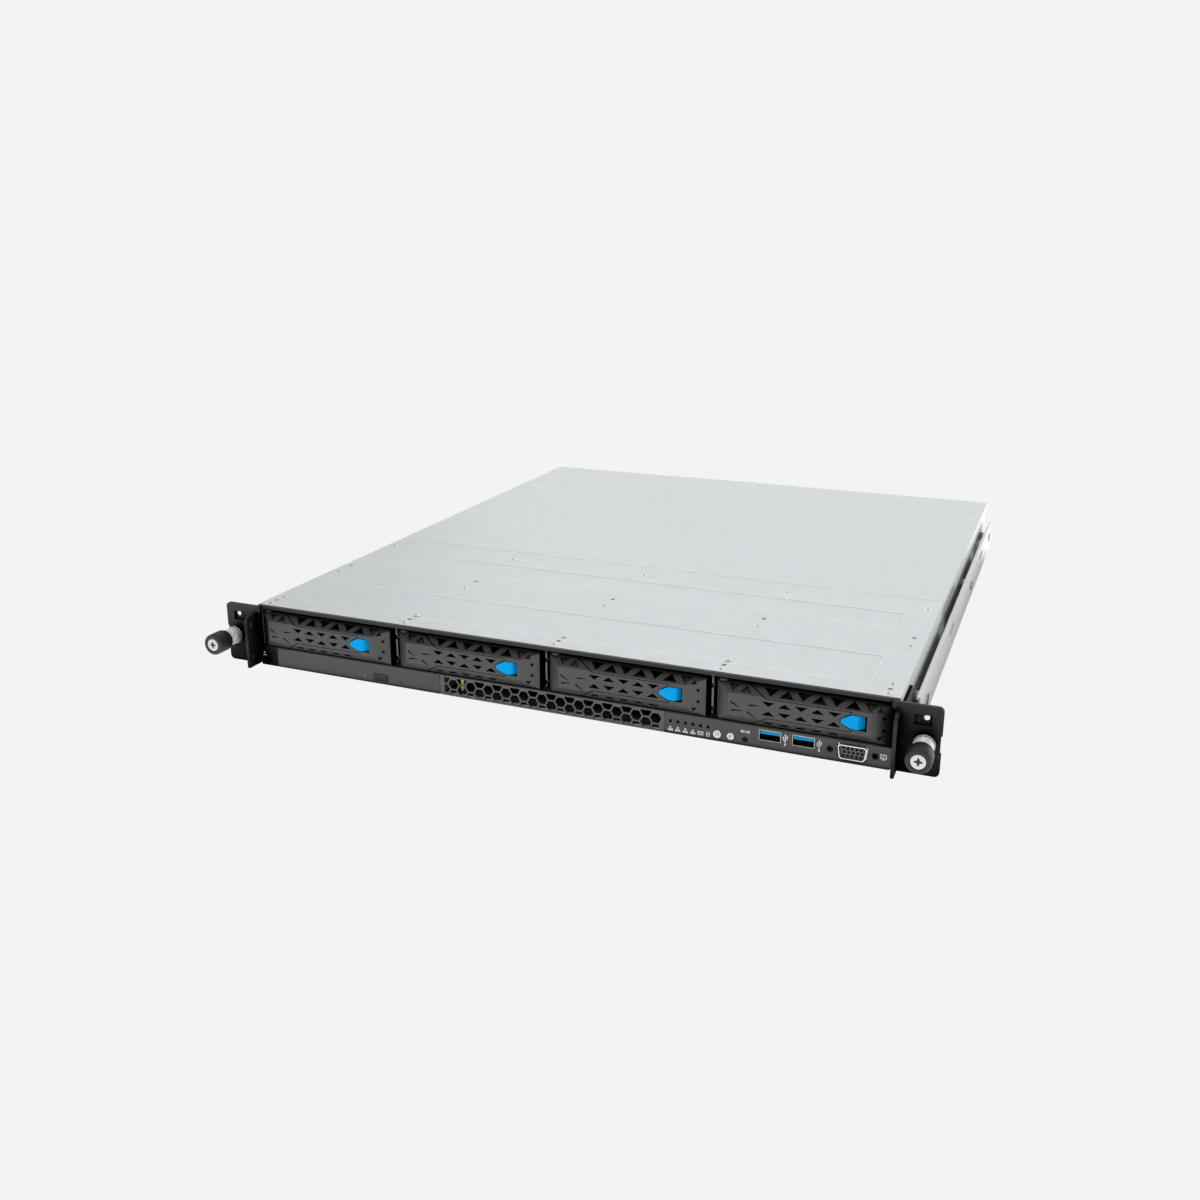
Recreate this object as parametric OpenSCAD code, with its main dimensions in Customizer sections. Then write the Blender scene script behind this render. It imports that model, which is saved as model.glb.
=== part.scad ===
// 1U rack server with four front drive trays, a slim optical drive and captive ear screws.
// X runs across the front, +Y runs to the rear and +Z is up, all in millimetres.
// The origin is the centre of the bounding box, on the underside of the chassis.

/* [Chassis] */
// Width over the top cover's folded sides
body_w = 434.6; // [430:0.1:445]
// Height of the chassis, without the rivet heads
body_h = 43.2; // [43:0.1:44]
// Depth from the front panels to the rear wall
body_d = 505; // [490:1:560]
// Thickness of the chassis sheet
chassis_t = 1.0; // [0.8:0.1:1.2]
// Thickness of the top covers' sheet
cover_t = 0.8; // [0.6:0.1:1]
// How far the covers' sides fold down
skirt_h = 4; // [3:0.5:5]
// Where the front cover ends and the rear cover begins
seam_y = 187; // [184:1:188]

/* [Front panels] */
// Height of the lower row of panels
lower_h = 13.4; // [13.2:0.1:13.6]
// Thickness of the lower panels
panel_t = 1.5; // [1.2:0.1:2]
// Width of the port panel
port_panel_w = 135.6; // [130:0.1:140]
// Width over flats of a grille cell
cell_flats = 6.4; // [5:0.1:7]
// Width of the grille's webs
web_w = 0.9; // [0.7:0.1:1.4]

/* [Drive trays] */
// Clear space between two neighbouring bezels
tray_gap = 6.2; // [5:0.1:8]
// How far the bezel's flat face stands forward
face_out = 4.5; // [3:0.1:5]
// Height of the bezel
bezel_h = 25.2; // [24:0.1:26]
// Width of a 3.5 inch drive
drive_w = 101.6; // [101.6:0.1:101.8]
// Height of a 3.5 inch drive
drive_h = 26.1; // [25.4:0.1:26.2]
// Length of a 3.5 inch drive
drive_l = 147; // [146:0.1:148]
// Radius of the lever's pivot pin
lever_pin_r = 1.0; // [0.8:0.1:1.2]
// Height of the latch button
latch_h = 7.9; // [7:0.1:9]
// Sideways travel of the latch button
latch_travel = 2; // [1:0.1:2.2]

/* [Rack ears] */
// Thickness of the ear's sheet
ear_t = 2; // [1.6:0.1:2.4]
// How far each ear reaches past the top cover's side
ear_w = 24; // [23.5:0.1:25]
// Distance from an ear's outer edge to its captive screw
screw_inset = 8.75; // [8:0.05:9.5]
// Height of the captive screws above the underside
screw_z = 21.4; // [20:0.1:22.4]
// Radius of the screw's knob
knob_r = 7.2; // [6.5:0.1:7.5]
// How far the knob's face stands in front of the panels
knob_out = 29.4; // [27:0.1:30]
// Travel of the captive screw
screw_travel = 6; // [4:0.1:6.5]

/* [Optical drive] */
// Width of the slim optical drive
optical_w = 128; // [127:0.1:128.5]
// Length of the slim optical drive behind its bezel
optical_l = 126; // [120:0.5:128]

/* [Inside] */
// Side of a cooling fan
fan_side = 40; // [38:1:40]
// Thickness of a cooling fan
fan_l = 28; // [20:1:28]
// Width of the power supply
psu_w = 100; // [95:1:105]
// Length of the power supply
psu_l = 205; // [180:1:220]
// Width of the main board
board_w = 305; // [300:1:310]
// Length of the main board
board_l = 266; // [244:1:270]

/* [Hidden] */
$fn = 48;
eps = 0.01;
bays = 4;
move_gap = 0.3;
rivet_head_h = 0.35;
rear_reach = 12;
back_y = body_d + rear_reach;
shift_y = (knob_out - back_y) / 2;
wall_x = body_w / 2 - cover_t - move_gap;
inner_x = wall_x - chassis_t;
wall_top = body_h - cover_t - move_gap;
bay_pitch = (body_w - 0.6) / bays;
tray_w = bay_pitch - tray_gap;
shelf_t = 0.9;
shelf_z = lower_h - 0.1;
bay_z = shelf_z + shelf_t;
cage_l = 168;
divider_t = 1.2;
drive_z = bay_z + 0.5;
tray_z = bay_z + 0.4;
tray_top = tray_z + bezel_h;
rail_t = 1.1;
face_z0 = tray_z + 5.7;
face_z1 = tray_top - 5.7;
strip_z0 = face_z0 + 1.3;
strip_z1 = face_z1 - 1;
latch_z = (strip_z0 + strip_z1) / 2;
latch_x0 = tray_w - 27.7;
latch_x1 = tray_w - 14.6;
pivot_x = 4.2;
pivot_y = 4.8;
pitch_tri = 9.5;
neck_front = -6.4;
neck_r = 4.9;
neck_bore = 3.9;
sleeve_r = 5.5;
sleeve_front = -18.4;
cavity_r = sleeve_r + 0.45;
cavity_end = sleeve_front - screw_travel - 1.5;
shank_r = 1.9;
skirt_back = -17;
optical_x0 = -body_w / 2 + 14.6;
port_x1 = body_w / 2 - 1.9;
port_x0 = port_x1 - port_panel_w;
grille_x0 = optical_x0 + optical_w;
port_board_z = 1.6;
port_board_t = 1.2;
fan_y = 194;
fan_z = chassis_t + 0.3;
board_z = chassis_t + 6;
board_t = 1.6;
psu_x0 = -inner_x + 1;
psu_y0 = body_d - psu_l;
psu_z0 = chassis_t + 0.2;
psu_h = 40;
board_x1 = inner_x - 4;
board_x0 = board_x1 - board_w;
board_y0 = body_d - 4 - board_l;

// Rounded rectangle with its lower left corner on the origin
module round_rect(w, h, r) {
    translate([r, 0]) square([w - 2 * r, h]);
    translate([0, r]) square([w, h - 2 * r]);
    for (x = [r, w - r], y = [r, h - r])
        translate([x, y]) circle(r = r);
}

// Stands an outline drawn in X and Z upright, from y0 to y1
module upright(y0, y1) {
    translate([0, y1, 0]) rotate([90, 0, 0]) linear_extrude(y1 - y0) children();
}

// Extrudes an outline drawn in Y and Z along X, from x0 to x1
module across(x0, x1) {
    translate([x0, 0, 0]) rotate([90, 0, 90]) linear_extrude(x1 - x0) children();
}

// Plain block between two corners
module block(a, b) {
    translate(a) cube([b[0] - a[0], b[1] - a[1], b[2] - a[2]]);
}

// Cylinder along Y from y0 to y1
module rod_y(x, z, y0, y1, r) {
    translate([x, y0, z]) rotate([-90, 0, 0]) cylinder(h = y1 - y0, r = r);
}

// Puts a part drawn from the front panels' plane into the origin's frame
module place() {
    translate([0, shift_y, 0]) children();
}

function bay_x(n) = (n - 2.5) * bay_pitch;

// ---- Chassis and covers ----

rivet_x = [-body_w / 2 + 6.3, -bay_pitch + 4.5, 4, bay_pitch + 3.5, body_w / 2 - 7.8];
rivet_y = [7, 22, 89, 167];
rivet_r = 1.6;
front_wall_y = 3;
flange_w = 9;
flange_z = wall_top - 0.8;
io_x0 = board_x1 - 160;
io_x1 = board_x1 - 2;
slot_x0 = psu_x0 + psu_w + 8;
slot_w = 58;
rear_z0 = 7;
rear_z1 = 33;
vent_flats = 5;

// Rows of whole hexagonal cells inside a w by h rectangle
module hex_cells(w, h, flats, web) {
    pitch = flats + web;
    row = pitch * sqrt(3) / 2;
    cell_r = flats / sqrt(3);
    for (j = [0 : floor((h - 2 * cell_r) / row)], i = [0 : floor((w - flats) / pitch - (j % 2) * 0.5)])
        translate([(i + (j % 2) * 0.5) * pitch + flats / 2, cell_r + j * row])
            rotate(30) circle(r = cell_r, $fn = 6);
}

module rear_cutouts() {
    upright(body_d - 3, body_d + 1) {
        translate([psu_x0 - 0.5, psu_z0 - 0.1]) square([psu_w + 1, psu_h + 0.3]);
        translate([slot_x0, 16]) square([slot_w, 18]);
        translate([io_x0, rear_z0]) square([io_x1 - io_x0, rear_z1 - rear_z0]);
        translate([slot_x0, 4]) hex_cells(slot_w, 11, vent_flats, 1);
        translate([io_x0 + 2, rear_z1 + 1.2]) hex_cells(io_x1 - io_x0 - 4, 6, vent_flats, 1);
    }
}

module chassis_base() {
    color("lightsteelblue") difference() {
        union() {
            block([-wall_x, panel_t + 0.2, 0], [wall_x, body_d, chassis_t]);
            for (s = [0, 1]) mirror([s, 0, 0]) {
                block([inner_x, front_wall_y, 0], [wall_x, body_d, wall_top]);
                block([inner_x - flange_w, 3, flange_z], [wall_x, seam_y - 8, wall_top]);
            }
            block([-wall_x, body_d - chassis_t, 0], [wall_x, body_d, wall_top]);
            for (x = [board_x0 + 8, (board_x0 + board_x1) / 2, board_x1 - 8],
                 y = [board_y0 + 8, board_y0 + board_l - 12])
                translate([x, y, 0]) cylinder(h = board_z, r = 3);
        }
        rear_cutouts();
        for (s = [0, 1]) mirror([s, 0, 0]) {
            for (y = stud_ys) translate([inner_x - 1, y, stud_z])
                rotate([0, 90, 0]) cylinder(h = 4, r = stud_r);
            for (i = [0 : 7]) across(inner_x - 1, wall_x + 1)
                translate([196 + i * 9, 28]) square([5, 9]);
        }
        for (x = [rivet_x[0], rivet_x[4]], y = rivet_y)
            translate([x, y, flange_z - 1]) cylinder(h = 3, r = rivet_r);
    }
}

// Black fascia round the drive bays, with the small vent block at its left
module front_frame() {
    post_x = bays / 2 * bay_pitch - tray_gap / 2 + 1.1;
    vent_w = optical_x0 - 0.3 + post_x + 1.2;
    color("dimgray") difference() {
        union() {
            block([-post_x - 1.2, 0, wall_top - 1], [post_x + 1.2, 2.3, body_h]);
            block([-post_x - 1.2, 0, lower_h + 0.1], [post_x + 1.2, 2.2, bay_z]);
            for (s = [0, 1]) mirror([s, 0, 0])
                block([post_x, 0, bay_z - 0.5], [post_x + 1.2, 2.2, body_h - 0.5]);
            upright(0, panel_t) translate([-post_x - 1.2, 0])
                square([vent_w, lower_h + 0.3]);
        }
        for (z = [4.3, 9.2])
            block([optical_x0 - 8.6, -1, z - 1.5], [optical_x0 - 4.6, 5, z + 1.5]);
    }
}

// Shelf under the drives with the three bay dividers
module drive_cage() {
    color("silver") {
        difference() {
            block([-inner_x + 0.2, 2.8, shelf_z], [inner_x - 0.2, cage_l, bay_z]);
            for (n = [1 : bays]) translate([bay_x(n) - 30, 0, 0]) linear_extrude(40)
                for (y = [30, 76, 122]) translate([0, y]) round_rect(60, 30, 5);
        }
        for (n = [-1 : 1]) translate([n * bay_pitch, 0, 0]) difference() {
            union() {
                block([-divider_t / 2, 4, bay_z], [divider_t / 2, cage_l, wall_top + 0.2]);
                block([-divider_t / 2, 2.9, flange_z + 0.2], [8, cage_l + 4, wall_top + 0.2]);
            }
            across(-3, 3) for (y = [20 : 28 : 150]) translate([y, 20]) round_rect(18, 15, 4);
            translate([rivet_x[n + 2] - n * bay_pitch, 0, 0]) for (y = rivet_y)
                translate([0, y, flange_z - 1]) cylinder(h = 4, r = rivet_r);
            across(-3, 3) for (z = [bay_z + 3, tray_top - 8]) translate([3, z]) square([2.4, 3]);
        }
    }
}

// Folded cover sheet between two depths
module cover_sheet(y0, y1) {
    block([-body_w / 2, y0, body_h - cover_t], [body_w / 2, y1, body_h]);
    for (s = [0, 1]) mirror([s, 0, 0])
        block([body_w / 2 - cover_t, y0, body_h - skirt_h], [body_w / 2, y1, body_h]);
}

module front_top_cover() {
    bead = 0.3;
    bead_inset = 20;
    bead_ys = [[18, 66], [120, 152]];
    color("gainsboro") difference() {
        union() {
            cover_sheet(2.5, seam_y);
            block([-inner_x + flange_w + 2, seam_y - 7, wall_top - 0.8],
                  [inner_x - flange_w - 2, seam_y + 8, wall_top]);
            block([-inner_x + flange_w + 2, seam_y - 7, wall_top - 0.8],
                  [inner_x - flange_w - 2, seam_y - 1, body_h - cover_t + eps]);
        }
        for (y = bead_ys)
            translate([-body_w / 2 + bead_inset, y[0], body_h - bead]) linear_extrude(1)
                round_rect(body_w - 2 * bead_inset, y[1] - y[0], 4);
        for (x = rivet_x, y = rivet_y)
            translate([x, y, body_h - 3]) cylinder(h = 4, r = rivet_r);
        for (x = rivet_x, y = [14, 105])
            translate([x, y, body_h - 3]) cylinder(h = 4, r = 1.5);
    }
}

tab_x0 = -21.6;
tab_x1 = -3.7;
cover_screw_z = wall_top - 5.5;

module rear_top_cover() {
    color("gainsboro") difference() {
        union() {
            cover_sheet(seam_y + 0.6, body_d);
            block([-79, body_d - 1, body_h - cover_t], [body_w / 2 - 12, body_d + 1.5, body_h]);
            block([-body_w / 2 + 18, body_d - 1, body_h - cover_t],
                  [-body_w / 2 + 26, body_d + 2.5, body_h]);
            block([tab_x0, body_d - 1, body_h - cover_t], [tab_x1, body_d + 3, body_h]);
            block([tab_x0, body_d + 2, wall_top - 11], [tab_x1, body_d + 3, body_h]);
        }
        rod_y((tab_x0 + tab_x1) / 2, cover_screw_z, body_d, body_d + 5, 1.9);
    }
}

// Captive thumbscrew in the rear cover's folded tab
module cover_screw() {
    x = (tab_x0 + tab_x1) / 2;
    color("silver") {
        rod_y(x, cover_screw_z, body_d + 0.4, body_d + 3.2, 1.85);
        difference() {
            rod_y(x, cover_screw_z, body_d + 3.05, body_d + 9, 4.2);
            rod_y(x, cover_screw_z, body_d + 7.6, body_d + 10, 2.8);
        }
    }
}

module rivets() {
    color("silver") {
        for (x = rivet_x, y = rivet_y) translate([x, y, 0]) {
            translate([0, 0, flange_z]) cylinder(h = body_h - flange_z, r = rivet_r - 0.05);
            translate([0, 0, body_h]) intersection() {
                translate([0, 0, rivet_head_h - 7]) sphere(r = 7);
                cylinder(h = 2, r = 3);
            }
        }
        for (s = [0, 1]) mirror([s, 0, 0]) for (y = stud_ys)
            translate([0, y, stud_z]) rotate([0, 90, 0]) {
                translate([0, 0, inner_x]) cylinder(h = rail_x1 - inner_x + 0.1, r = stud_r - 0.05);
                translate([0, 0, wall_x + 0.05]) cylinder(h = rail_x0 - wall_x - 0.1, r = 4);
                translate([0, 0, rail_x1 + 0.05]) cylinder(h = 1.2, r = 3.8);
            }
    }
}

// ---- Slide rails and rack ears ----

rail_x0 = wall_x + 5.4;
rail_x1 = rail_x0 + 1.2;
rail_z0 = 2;
rail_z1 = 27;
rail_lip = 1.2;
rail_y0 = 46;
rail_y1 = body_d - 6;
stud_z = 16;
stud_r = 2.5;
stud_ys = [75, 75 + (body_d - 85) * 0.6, body_d - 20];

// C-shaped inner slide rail, hung on shouldered studs
module side_rail() {
    color("lightgray") difference() {
        union() {
            block([rail_x0, rail_y0, rail_z0], [rail_x1, rail_y1, rail_z1]);
            block([rail_x0 - rail_lip, rail_y0, rail_z1 - 1.2], [rail_x1, rail_y1, rail_z1]);
            block([rail_x0 - rail_lip, rail_y0, rail_z0], [rail_x1, rail_y1, rail_z0 + 1.2]);
        }
        for (y = stud_ys) translate([0, y, stud_z]) {
            rotate([0, 90, 0]) cylinder(h = 400, r = stud_r);
            across(0, 400) translate([0, -1.6]) square([8, 3.2]);
        }
        for (y = [(stud_ys[0] + stud_ys[1]) / 2, (stud_ys[1] + stud_ys[2]) / 2])
            across(0, 400) translate([y - 12, stud_z + 1]) round_rect(24, 5, 2.4);
    }
}

module left_side_rail() { mirror([1, 0, 0]) side_rail(); }
module right_side_rail() { side_rail(); }

ear_x0 = wall_x + 0.1;
ear_x1 = body_w / 2 + ear_w;
ear_z0 = 1.4;
ear_top = body_h - 0.3;
screw_x = ear_x1 - screw_inset;

// Folded sheet ear with its forward pull flange
module ear() {
    color("dimgray") difference() {
        union() {
            upright(-ear_t, 0) translate([ear_x0, ear_z0]) {
                round_rect(ear_x1 - ear_x0, ear_top - ear_z0, 3);
                square([5, ear_top - ear_z0]);
            }
            across(ear_x0, ear_x0 + ear_t) {
                translate([-13, ear_z0]) round_rect(20, 38 - ear_z0, 4);
                translate([-13, ear_z0]) square([57, 8]);
                translate([-4, ear_z0]) square([48, 34]);
            }
            rod_y(screw_x, screw_z, neck_front, -ear_t, neck_r);
            for (z = [8.5, 31.5]) translate([ear_x0 + 0.1, -7.5, z]) rotate([0, -90, 0])
                cylinder(h = 0.7, r1 = 2.6, r2 = 1.6);
        }
        rod_y(screw_x, screw_z, neck_front - 1, 1, neck_bore);
        translate([ear_x0 - 1, -9.6, ear_z0 + 3.4]) rotate([0, 90, 0]) cylinder(h = 5, r = 0.8);
        block([ear_x1 - 15.7, -ear_t - 1, 31], [ear_x1 - 5.9, -0.6, 37.2]);
        rod_y(ear_x1 - 9.1, 35.4, -ear_t - 1, 1, 1.7);
        block([ear_x1 - 0.7, -ear_t - 1, 15.5], [ear_x1 + 1, 1, 26]);
        for (y = [20, 36]) translate([ear_x0 - 1, y, 20])
            rotate([0, 90, 0]) cylinder(h = ear_t + 2, r = 1.7);
    }
}

module left_ear() { mirror([1, 0, 0]) ear(); }
module right_ear() { ear(); }

// Sleeves pressed into the ears, which the captive screws run through
module ear_sleeves() {
    color("silver") for (s = [0, 1]) mirror([s, 0, 0]) difference() {
        union() {
            rod_y(screw_x, screw_z, sleeve_front, neck_front, sleeve_r);
            rod_y(screw_x, screw_z, neck_front - 0.8, neck_front, sleeve_r + 0.7);
            rod_y(screw_x, screw_z, neck_front - 0.1, -0.1, neck_bore - 0.05);
        }
        rod_y(screw_x, screw_z, sleeve_front - 1, 1, 2.9);
    }
}

// Washer between the spring and the bottom of the knob, free to turn on the shank
module spring_seat() {
    color("silver") difference() {
        rod_y(screw_x, screw_z, cavity_end + 0.3, cavity_end + 1.1, cavity_r - 0.4);
        rod_y(screw_x, screw_z, cavity_end - 1, cavity_end + 2, shank_r + 0.05);
    }
}

module left_spring_seat() { mirror([1, 0, 0]) spring_seat(); }
module right_spring_seat() { spring_seat(); }

// Knob and shank of a captive screw, drawn on its own axis
module thumbscrew() {
    front = -knob_out;
    color("black") translate([screw_x, 0, screw_z]) rotate([-90, 0, 0]) difference() {
        rotate_extrude() polygon([[0, front], [knob_r - 0.8, front], [knob_r, front + 0.8],
            [knob_r, skirt_back - 0.6], [knob_r - 0.6, skirt_back], [cavity_r, skirt_back],
            [cavity_r, cavity_end], [shank_r, cavity_end], [shank_r, -4.5], [shank_r - 0.8, -3.4],
            [0, -3.4]]);
        for (a = [0, 90]) rotate([0, 0, a]) translate([-2.4, -0.45, front - 1]) cube([4.8, 0.9, 2.4]);
    }
}

module left_thumbscrew() { mirror([1, 0, 0]) thumbscrew(); }
module right_thumbscrew() { thumbscrew(); }

// ---- Lower front row ----

// Perforated grille with two staggered rows of hexagonal cells
module front_grille() {
    w = port_x0 - grille_x0 - 0.4;
    pitch = cell_flats + web_w;
    col = pitch * sqrt(3) / 2;
    cell_z = 8.1;
    color("gray") translate([grille_x0 + 0.2, 0, 0]) {
        upright(0, 1) difference() {
            square([w, lower_h]);
            translate([3, 0.9]) intersection() {
                square([w - 4, lower_h - 1.8]);
                for (i = [0 : floor((w - 4) / col)], j = [0, 1])
                    translate([(i + 0.06) * col, cell_z - 0.9 - (j - 0.5 * ((i + 1) % 2)) * pitch])
                        circle(r = cell_flats / sqrt(3), $fn = 6);
            }
        }
        block([0, 0, 0], [0.9, 1.6, lower_h]);
        block([w - 0.9, 0, 0], [w, 1.6, lower_h]);
    }
}

led_x0 = port_x0 + 4;
led_pitch = 4.74;
leds = 6;
led_z = 8.1;
led_r = 1.05;
power_x = port_x0 + 33.3;
id_x = port_x0 + 41.5;
reset_x = port_x0 + 50.4;
button_z = 4.5;
power_r = 2.4;
id_r = 2.1;
reset_r = 0.9;
button_gap = 0.3;
usb_x = [port_x0 + 58.4, port_x0 + 78.2];
usb_w = 13.3;
usb_h = 6.8;
usb_z = 5.1;
display_x = port_x0 + 113.1;
display_z = 7;
display_w = 16.4;
display_low_w = 14.6;
display_h = 8.6;
display_screw = 12.8;

// D-shaped outline of the display socket, grown by g
module d_outline(g) {
    w = display_w / 2 + g;
    v = display_low_w / 2 + g;
    h = display_h / 2 + g;
    polygon([[-w + 1, h], [w - 1, h], [w, h - 1], [v, -h + 1], [v - 1, -h],
             [-v + 1, -h], [-v, -h + 1], [-w, h - 1]]);
}

module port_panel() {
    color("dimgray") difference() {
        union() {
            upright(0, panel_t) difference() {
                translate([port_x0, 0]) square([port_panel_w, lower_h]);
                translate([port_x1, 0]) circle(r = 1.6, $fn = 4);
            }
            for (x = [port_x0 + 0.2, port_x1 - 1.4])
                block([x, 0.2, chassis_t + 0.1], [x + 1.2, 4, lower_h - 0.4]);
        }
        for (i = [0 : leds - 1]) rod_y(led_x0 + i * led_pitch, led_z, -1, 9, led_r);
        rod_y(power_x, button_z, -1, 9, power_r + button_gap);
        rod_y(id_x, button_z, -1, 9, id_r + button_gap);
        rod_y(reset_x, button_z - 0.5, -1, 9, reset_r + button_gap);
        rod_y(reset_x, button_z - 0.5, -1, 0.6, reset_r + 0.9);
        for (x = usb_x) block([x - 0.2, -1, usb_z - 0.2], [x + usb_w + 0.2, 9, usb_z + usb_h + 0.2]);
        upright(-1, 9) translate([display_x, display_z]) d_outline(0.6);
        for (s = [-1, 1]) rod_y(display_x + s * display_screw, display_z, -1, 9, 1.9);
    }
}

// Board behind the port panel, with its light pipes and button switches
module port_board() {
    color("darkgreen") {
        block([port_x0 + 3, 5.3, port_board_z], [port_x1 - 3, 34, port_board_z + port_board_t]);
        for (x = [power_x, id_x, reset_x])
            block([x - 2, 5.4, port_board_z + port_board_t], [x + 2, 9, button_z + 2.5]);
        for (i = [0 : leds - 1]) {
            rod_y(led_x0 + i * led_pitch, led_z, 1.3, 6, led_r - 0.1);
            block([led_x0 + i * led_pitch - 1.2, 5.9, port_board_z + port_board_t],
                  [led_x0 + i * led_pitch + 1.2, 8, led_z + 1.4]);
        }
        for (x = [port_x0 + 10, port_x1 - 10]) translate([x, 28, chassis_t + 0.02])
            cylinder(h = port_board_z - chassis_t, r = 3);
    }
}

// Metal shells of the two front sockets, each on its insulator foot
module usb_sockets() {
    color("silver") for (x = usb_x) {
        difference() {
            block([x, 0.3, usb_z], [x + usb_w, 18, usb_z + usb_h]);
            block([x + 0.4, 0, usb_z + 0.4], [x + usb_w - 0.4, 16.5, usb_z + usb_h - 0.4]);
        }
        block([x + 0.4, 1.5, usb_z + usb_h - 2.6], [x + usb_w - 0.4, 16.6, usb_z + usb_h - 1.0]);
        block([x + 0.8, 5, port_board_z + port_board_t], [x + usb_w - 0.8, 17, usb_z + 0.1]);
    }
}

module display_socket() {
    color("silver") {
        difference() {
            union() {
                upright(-1.2, 3.2) translate([display_x, display_z]) d_outline(0);
                upright(panel_t + 0.1, panel_t + 1.1) translate([display_x - 15.4, chassis_t + 0.1])
                    round_rect(30.8, 12, 2);
            }
            upright(-2, 9) translate([display_x, display_z]) d_outline(-0.45);
            for (s = [-1, 1]) rod_y(display_x + s * display_screw, display_z, 0, 9, 1.2);
        }
        for (s = [-1, 1]) difference() {
            rod_y(display_x + s * display_screw, display_z, 0.4, 4, 1.8);
            rod_y(display_x + s * display_screw, display_z, -1, 5, 1.2);
        }
    }
}

// Insulator with three rows of contact holes
module display_insert() {
    color("darkblue") {
        difference() {
            upright(-0.4, 3.6) translate([display_x, display_z]) d_outline(-0.5);
            for (j = [-1 : 1], i = [-2 : 2])
                rod_y(display_x + i * 2.5 + (j == 0 ? 0.6 : 0), display_z + j * 2.3, -1, 2.4, 0.75);
        }
        block([display_x - 10, 3.4, port_board_z + port_board_t],
              [display_x + 10, 12, display_z + 4.6]);
    }
}

// Push button with a collar that keeps it behind the panel
module push_button(x, z, r, front) {
    rod_y(x, z, front, panel_t + 2.8, r);
    rod_y(x, z, panel_t + 0.1, panel_t + 1.1, r + 0.9);
}

module power_button() {
    color("white") difference() {
        push_button(power_x, button_z, power_r, -0.5);
        rod_y(power_x, button_z, -2, -0.2, power_r - 0.6);
    }
}

module id_button() {
    color("white") push_button(id_x, button_z, id_r, -0.4);
}

module reset_button() {
    color("dimgray") push_button(reset_x, button_z - 0.5, reset_r, 0.9);
}

// ---- Slim optical drive ----

optical_z0 = chassis_t + 0.3;
optical_z1 = lower_h - 0.5;
optical_shell = 0.6;
eject_x = optical_x0 + 82.7;
eject_z = 4.4;
eject_w = 10.5;
eject_h = 4.2;
disc_r = optical_w / 2 - 3.7;
disc_y = optical_l / 2 + 1;

module optical_case() {
    color("silver") difference() {
        block([optical_x0 + 0.4, 4.2, optical_z0], [optical_x0 + optical_w - 0.4, optical_l, optical_z1]);
        block([optical_x0 + 0.4 + optical_shell, 3, optical_z0 + optical_shell],
              [optical_x0 + optical_w - 0.4 - optical_shell, optical_l - 1, optical_z1 - optical_shell]);
        translate([optical_x0 + optical_w / 2, disc_y, optical_z1 - 1]) cylinder(h = 2, r = 8);
    }
}

// Disc tray with its well, spindle hub and laser slot
module optical_tray() {
    x0 = optical_x0 + 0.4 + optical_shell + 0.4;
    x1 = optical_x0 + optical_w - 0.4 - optical_shell - 0.4;
    cx = optical_x0 + optical_w / 2;
    z0 = optical_z0 + optical_shell + 0.4;
    z1 = optical_z1 - optical_shell - 1.2;
    color("dimgray") {
        difference() {
            block([x0, 3.4, z0], [x1, optical_l - 2, z1]);
            translate([cx, disc_y, z1 - 2.2]) cylinder(h = 5, r = disc_r);
            translate([cx, disc_y, z0 - 1]) cylinder(h = 20, r = 13);
            translate([cx - 9, disc_y, z0 - 1]) cube([18, 46, 20]);
        }
        translate([cx, disc_y, z0]) {
            cylinder(h = 1, r = 11.5);
            cylinder(h = z1 - z0 - 1, r = 7.4);
            translate([-14, -1.5, 0]) cube([28, 3, 1]);
        }
    }
}

module optical_bezel() {
    x0 = optical_x0 + 0.15;
    x1 = optical_x0 + optical_w - 0.15;
    color("dimgray") difference() {
        union() {
            upright(0, 1.6) translate([x0, 0]) round_rect(x1 - x0, lower_h, 0.5);
            block([x0 + 3, 1.5, optical_z0 + 2], [x1 - 3, 3.4, optical_z1 - 2.4]);
        }
        upright(-1, 9) translate([eject_x - eject_w / 2 - 0.3, eject_z - eject_h / 2 - 0.3])
            square([eject_w + 0.6, eject_h + 0.6]);
        rod_y(eject_x + 15.5, eject_z - 1.1, -1, 9, 0.6);
        rod_y(eject_x - 12.5, eject_z, -1, 9, 0.7);
    }
}

// Eject button, free in its opening in the bezel
module optical_button() {
    color("dimgray") {
        block([eject_x - eject_w / 2, -0.35, eject_z - eject_h / 2],
              [eject_x + eject_w / 2, 2.5, eject_z + eject_h / 2]);
    }
}

// ---- Drive trays ----

bezel_top_y = 3;
bezel_low_y = 0.5;
bezel_left_y = 2;
bezel_right_y = 0.5;
left_chamfer = 8.9;
right_chamfer = 10.9;
bezel_back = 7.6;
panel_back = 8.8;
lug_h = 1.3;
lug_clear = 4.4;
upper_gap_x = 18;
corner_x = 31.8;
lower_gap_x = 21.4;
lever_gap = 0.45;
lever_end = latch_x0 + 5.6;
tray_bar_y = panel_back + drive_l - 1.3;
slope_z = (face_z1 + tray_top) / 2 - 0.5;
mark_depth = 0.8;

// Faceted bezel form: a flat face with sloping top, bottom and sides, moved in by s
module bezel_form(s) {
    f = -face_out + s;
    intersection() {
        across(s, tray_w - s) polygon([[30, tray_z + s], [bezel_low_y + s, tray_z + s],
            [f, face_z0 + s * 0.4], [f, face_z1 - s * 0.4], [bezel_top_y + s, tray_top - s],
            [30, tray_top - s]]);
        translate([0, 0, tray_z]) linear_extrude(bezel_h) polygon([[s, 30], [s, bezel_left_y + s],
            [left_chamfer + s * 0.4, f], [tray_w - right_chamfer - s * 0.4, f],
            [tray_w - s, bezel_right_y + s], [tray_w - s, 30]]);
    }
}

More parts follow.
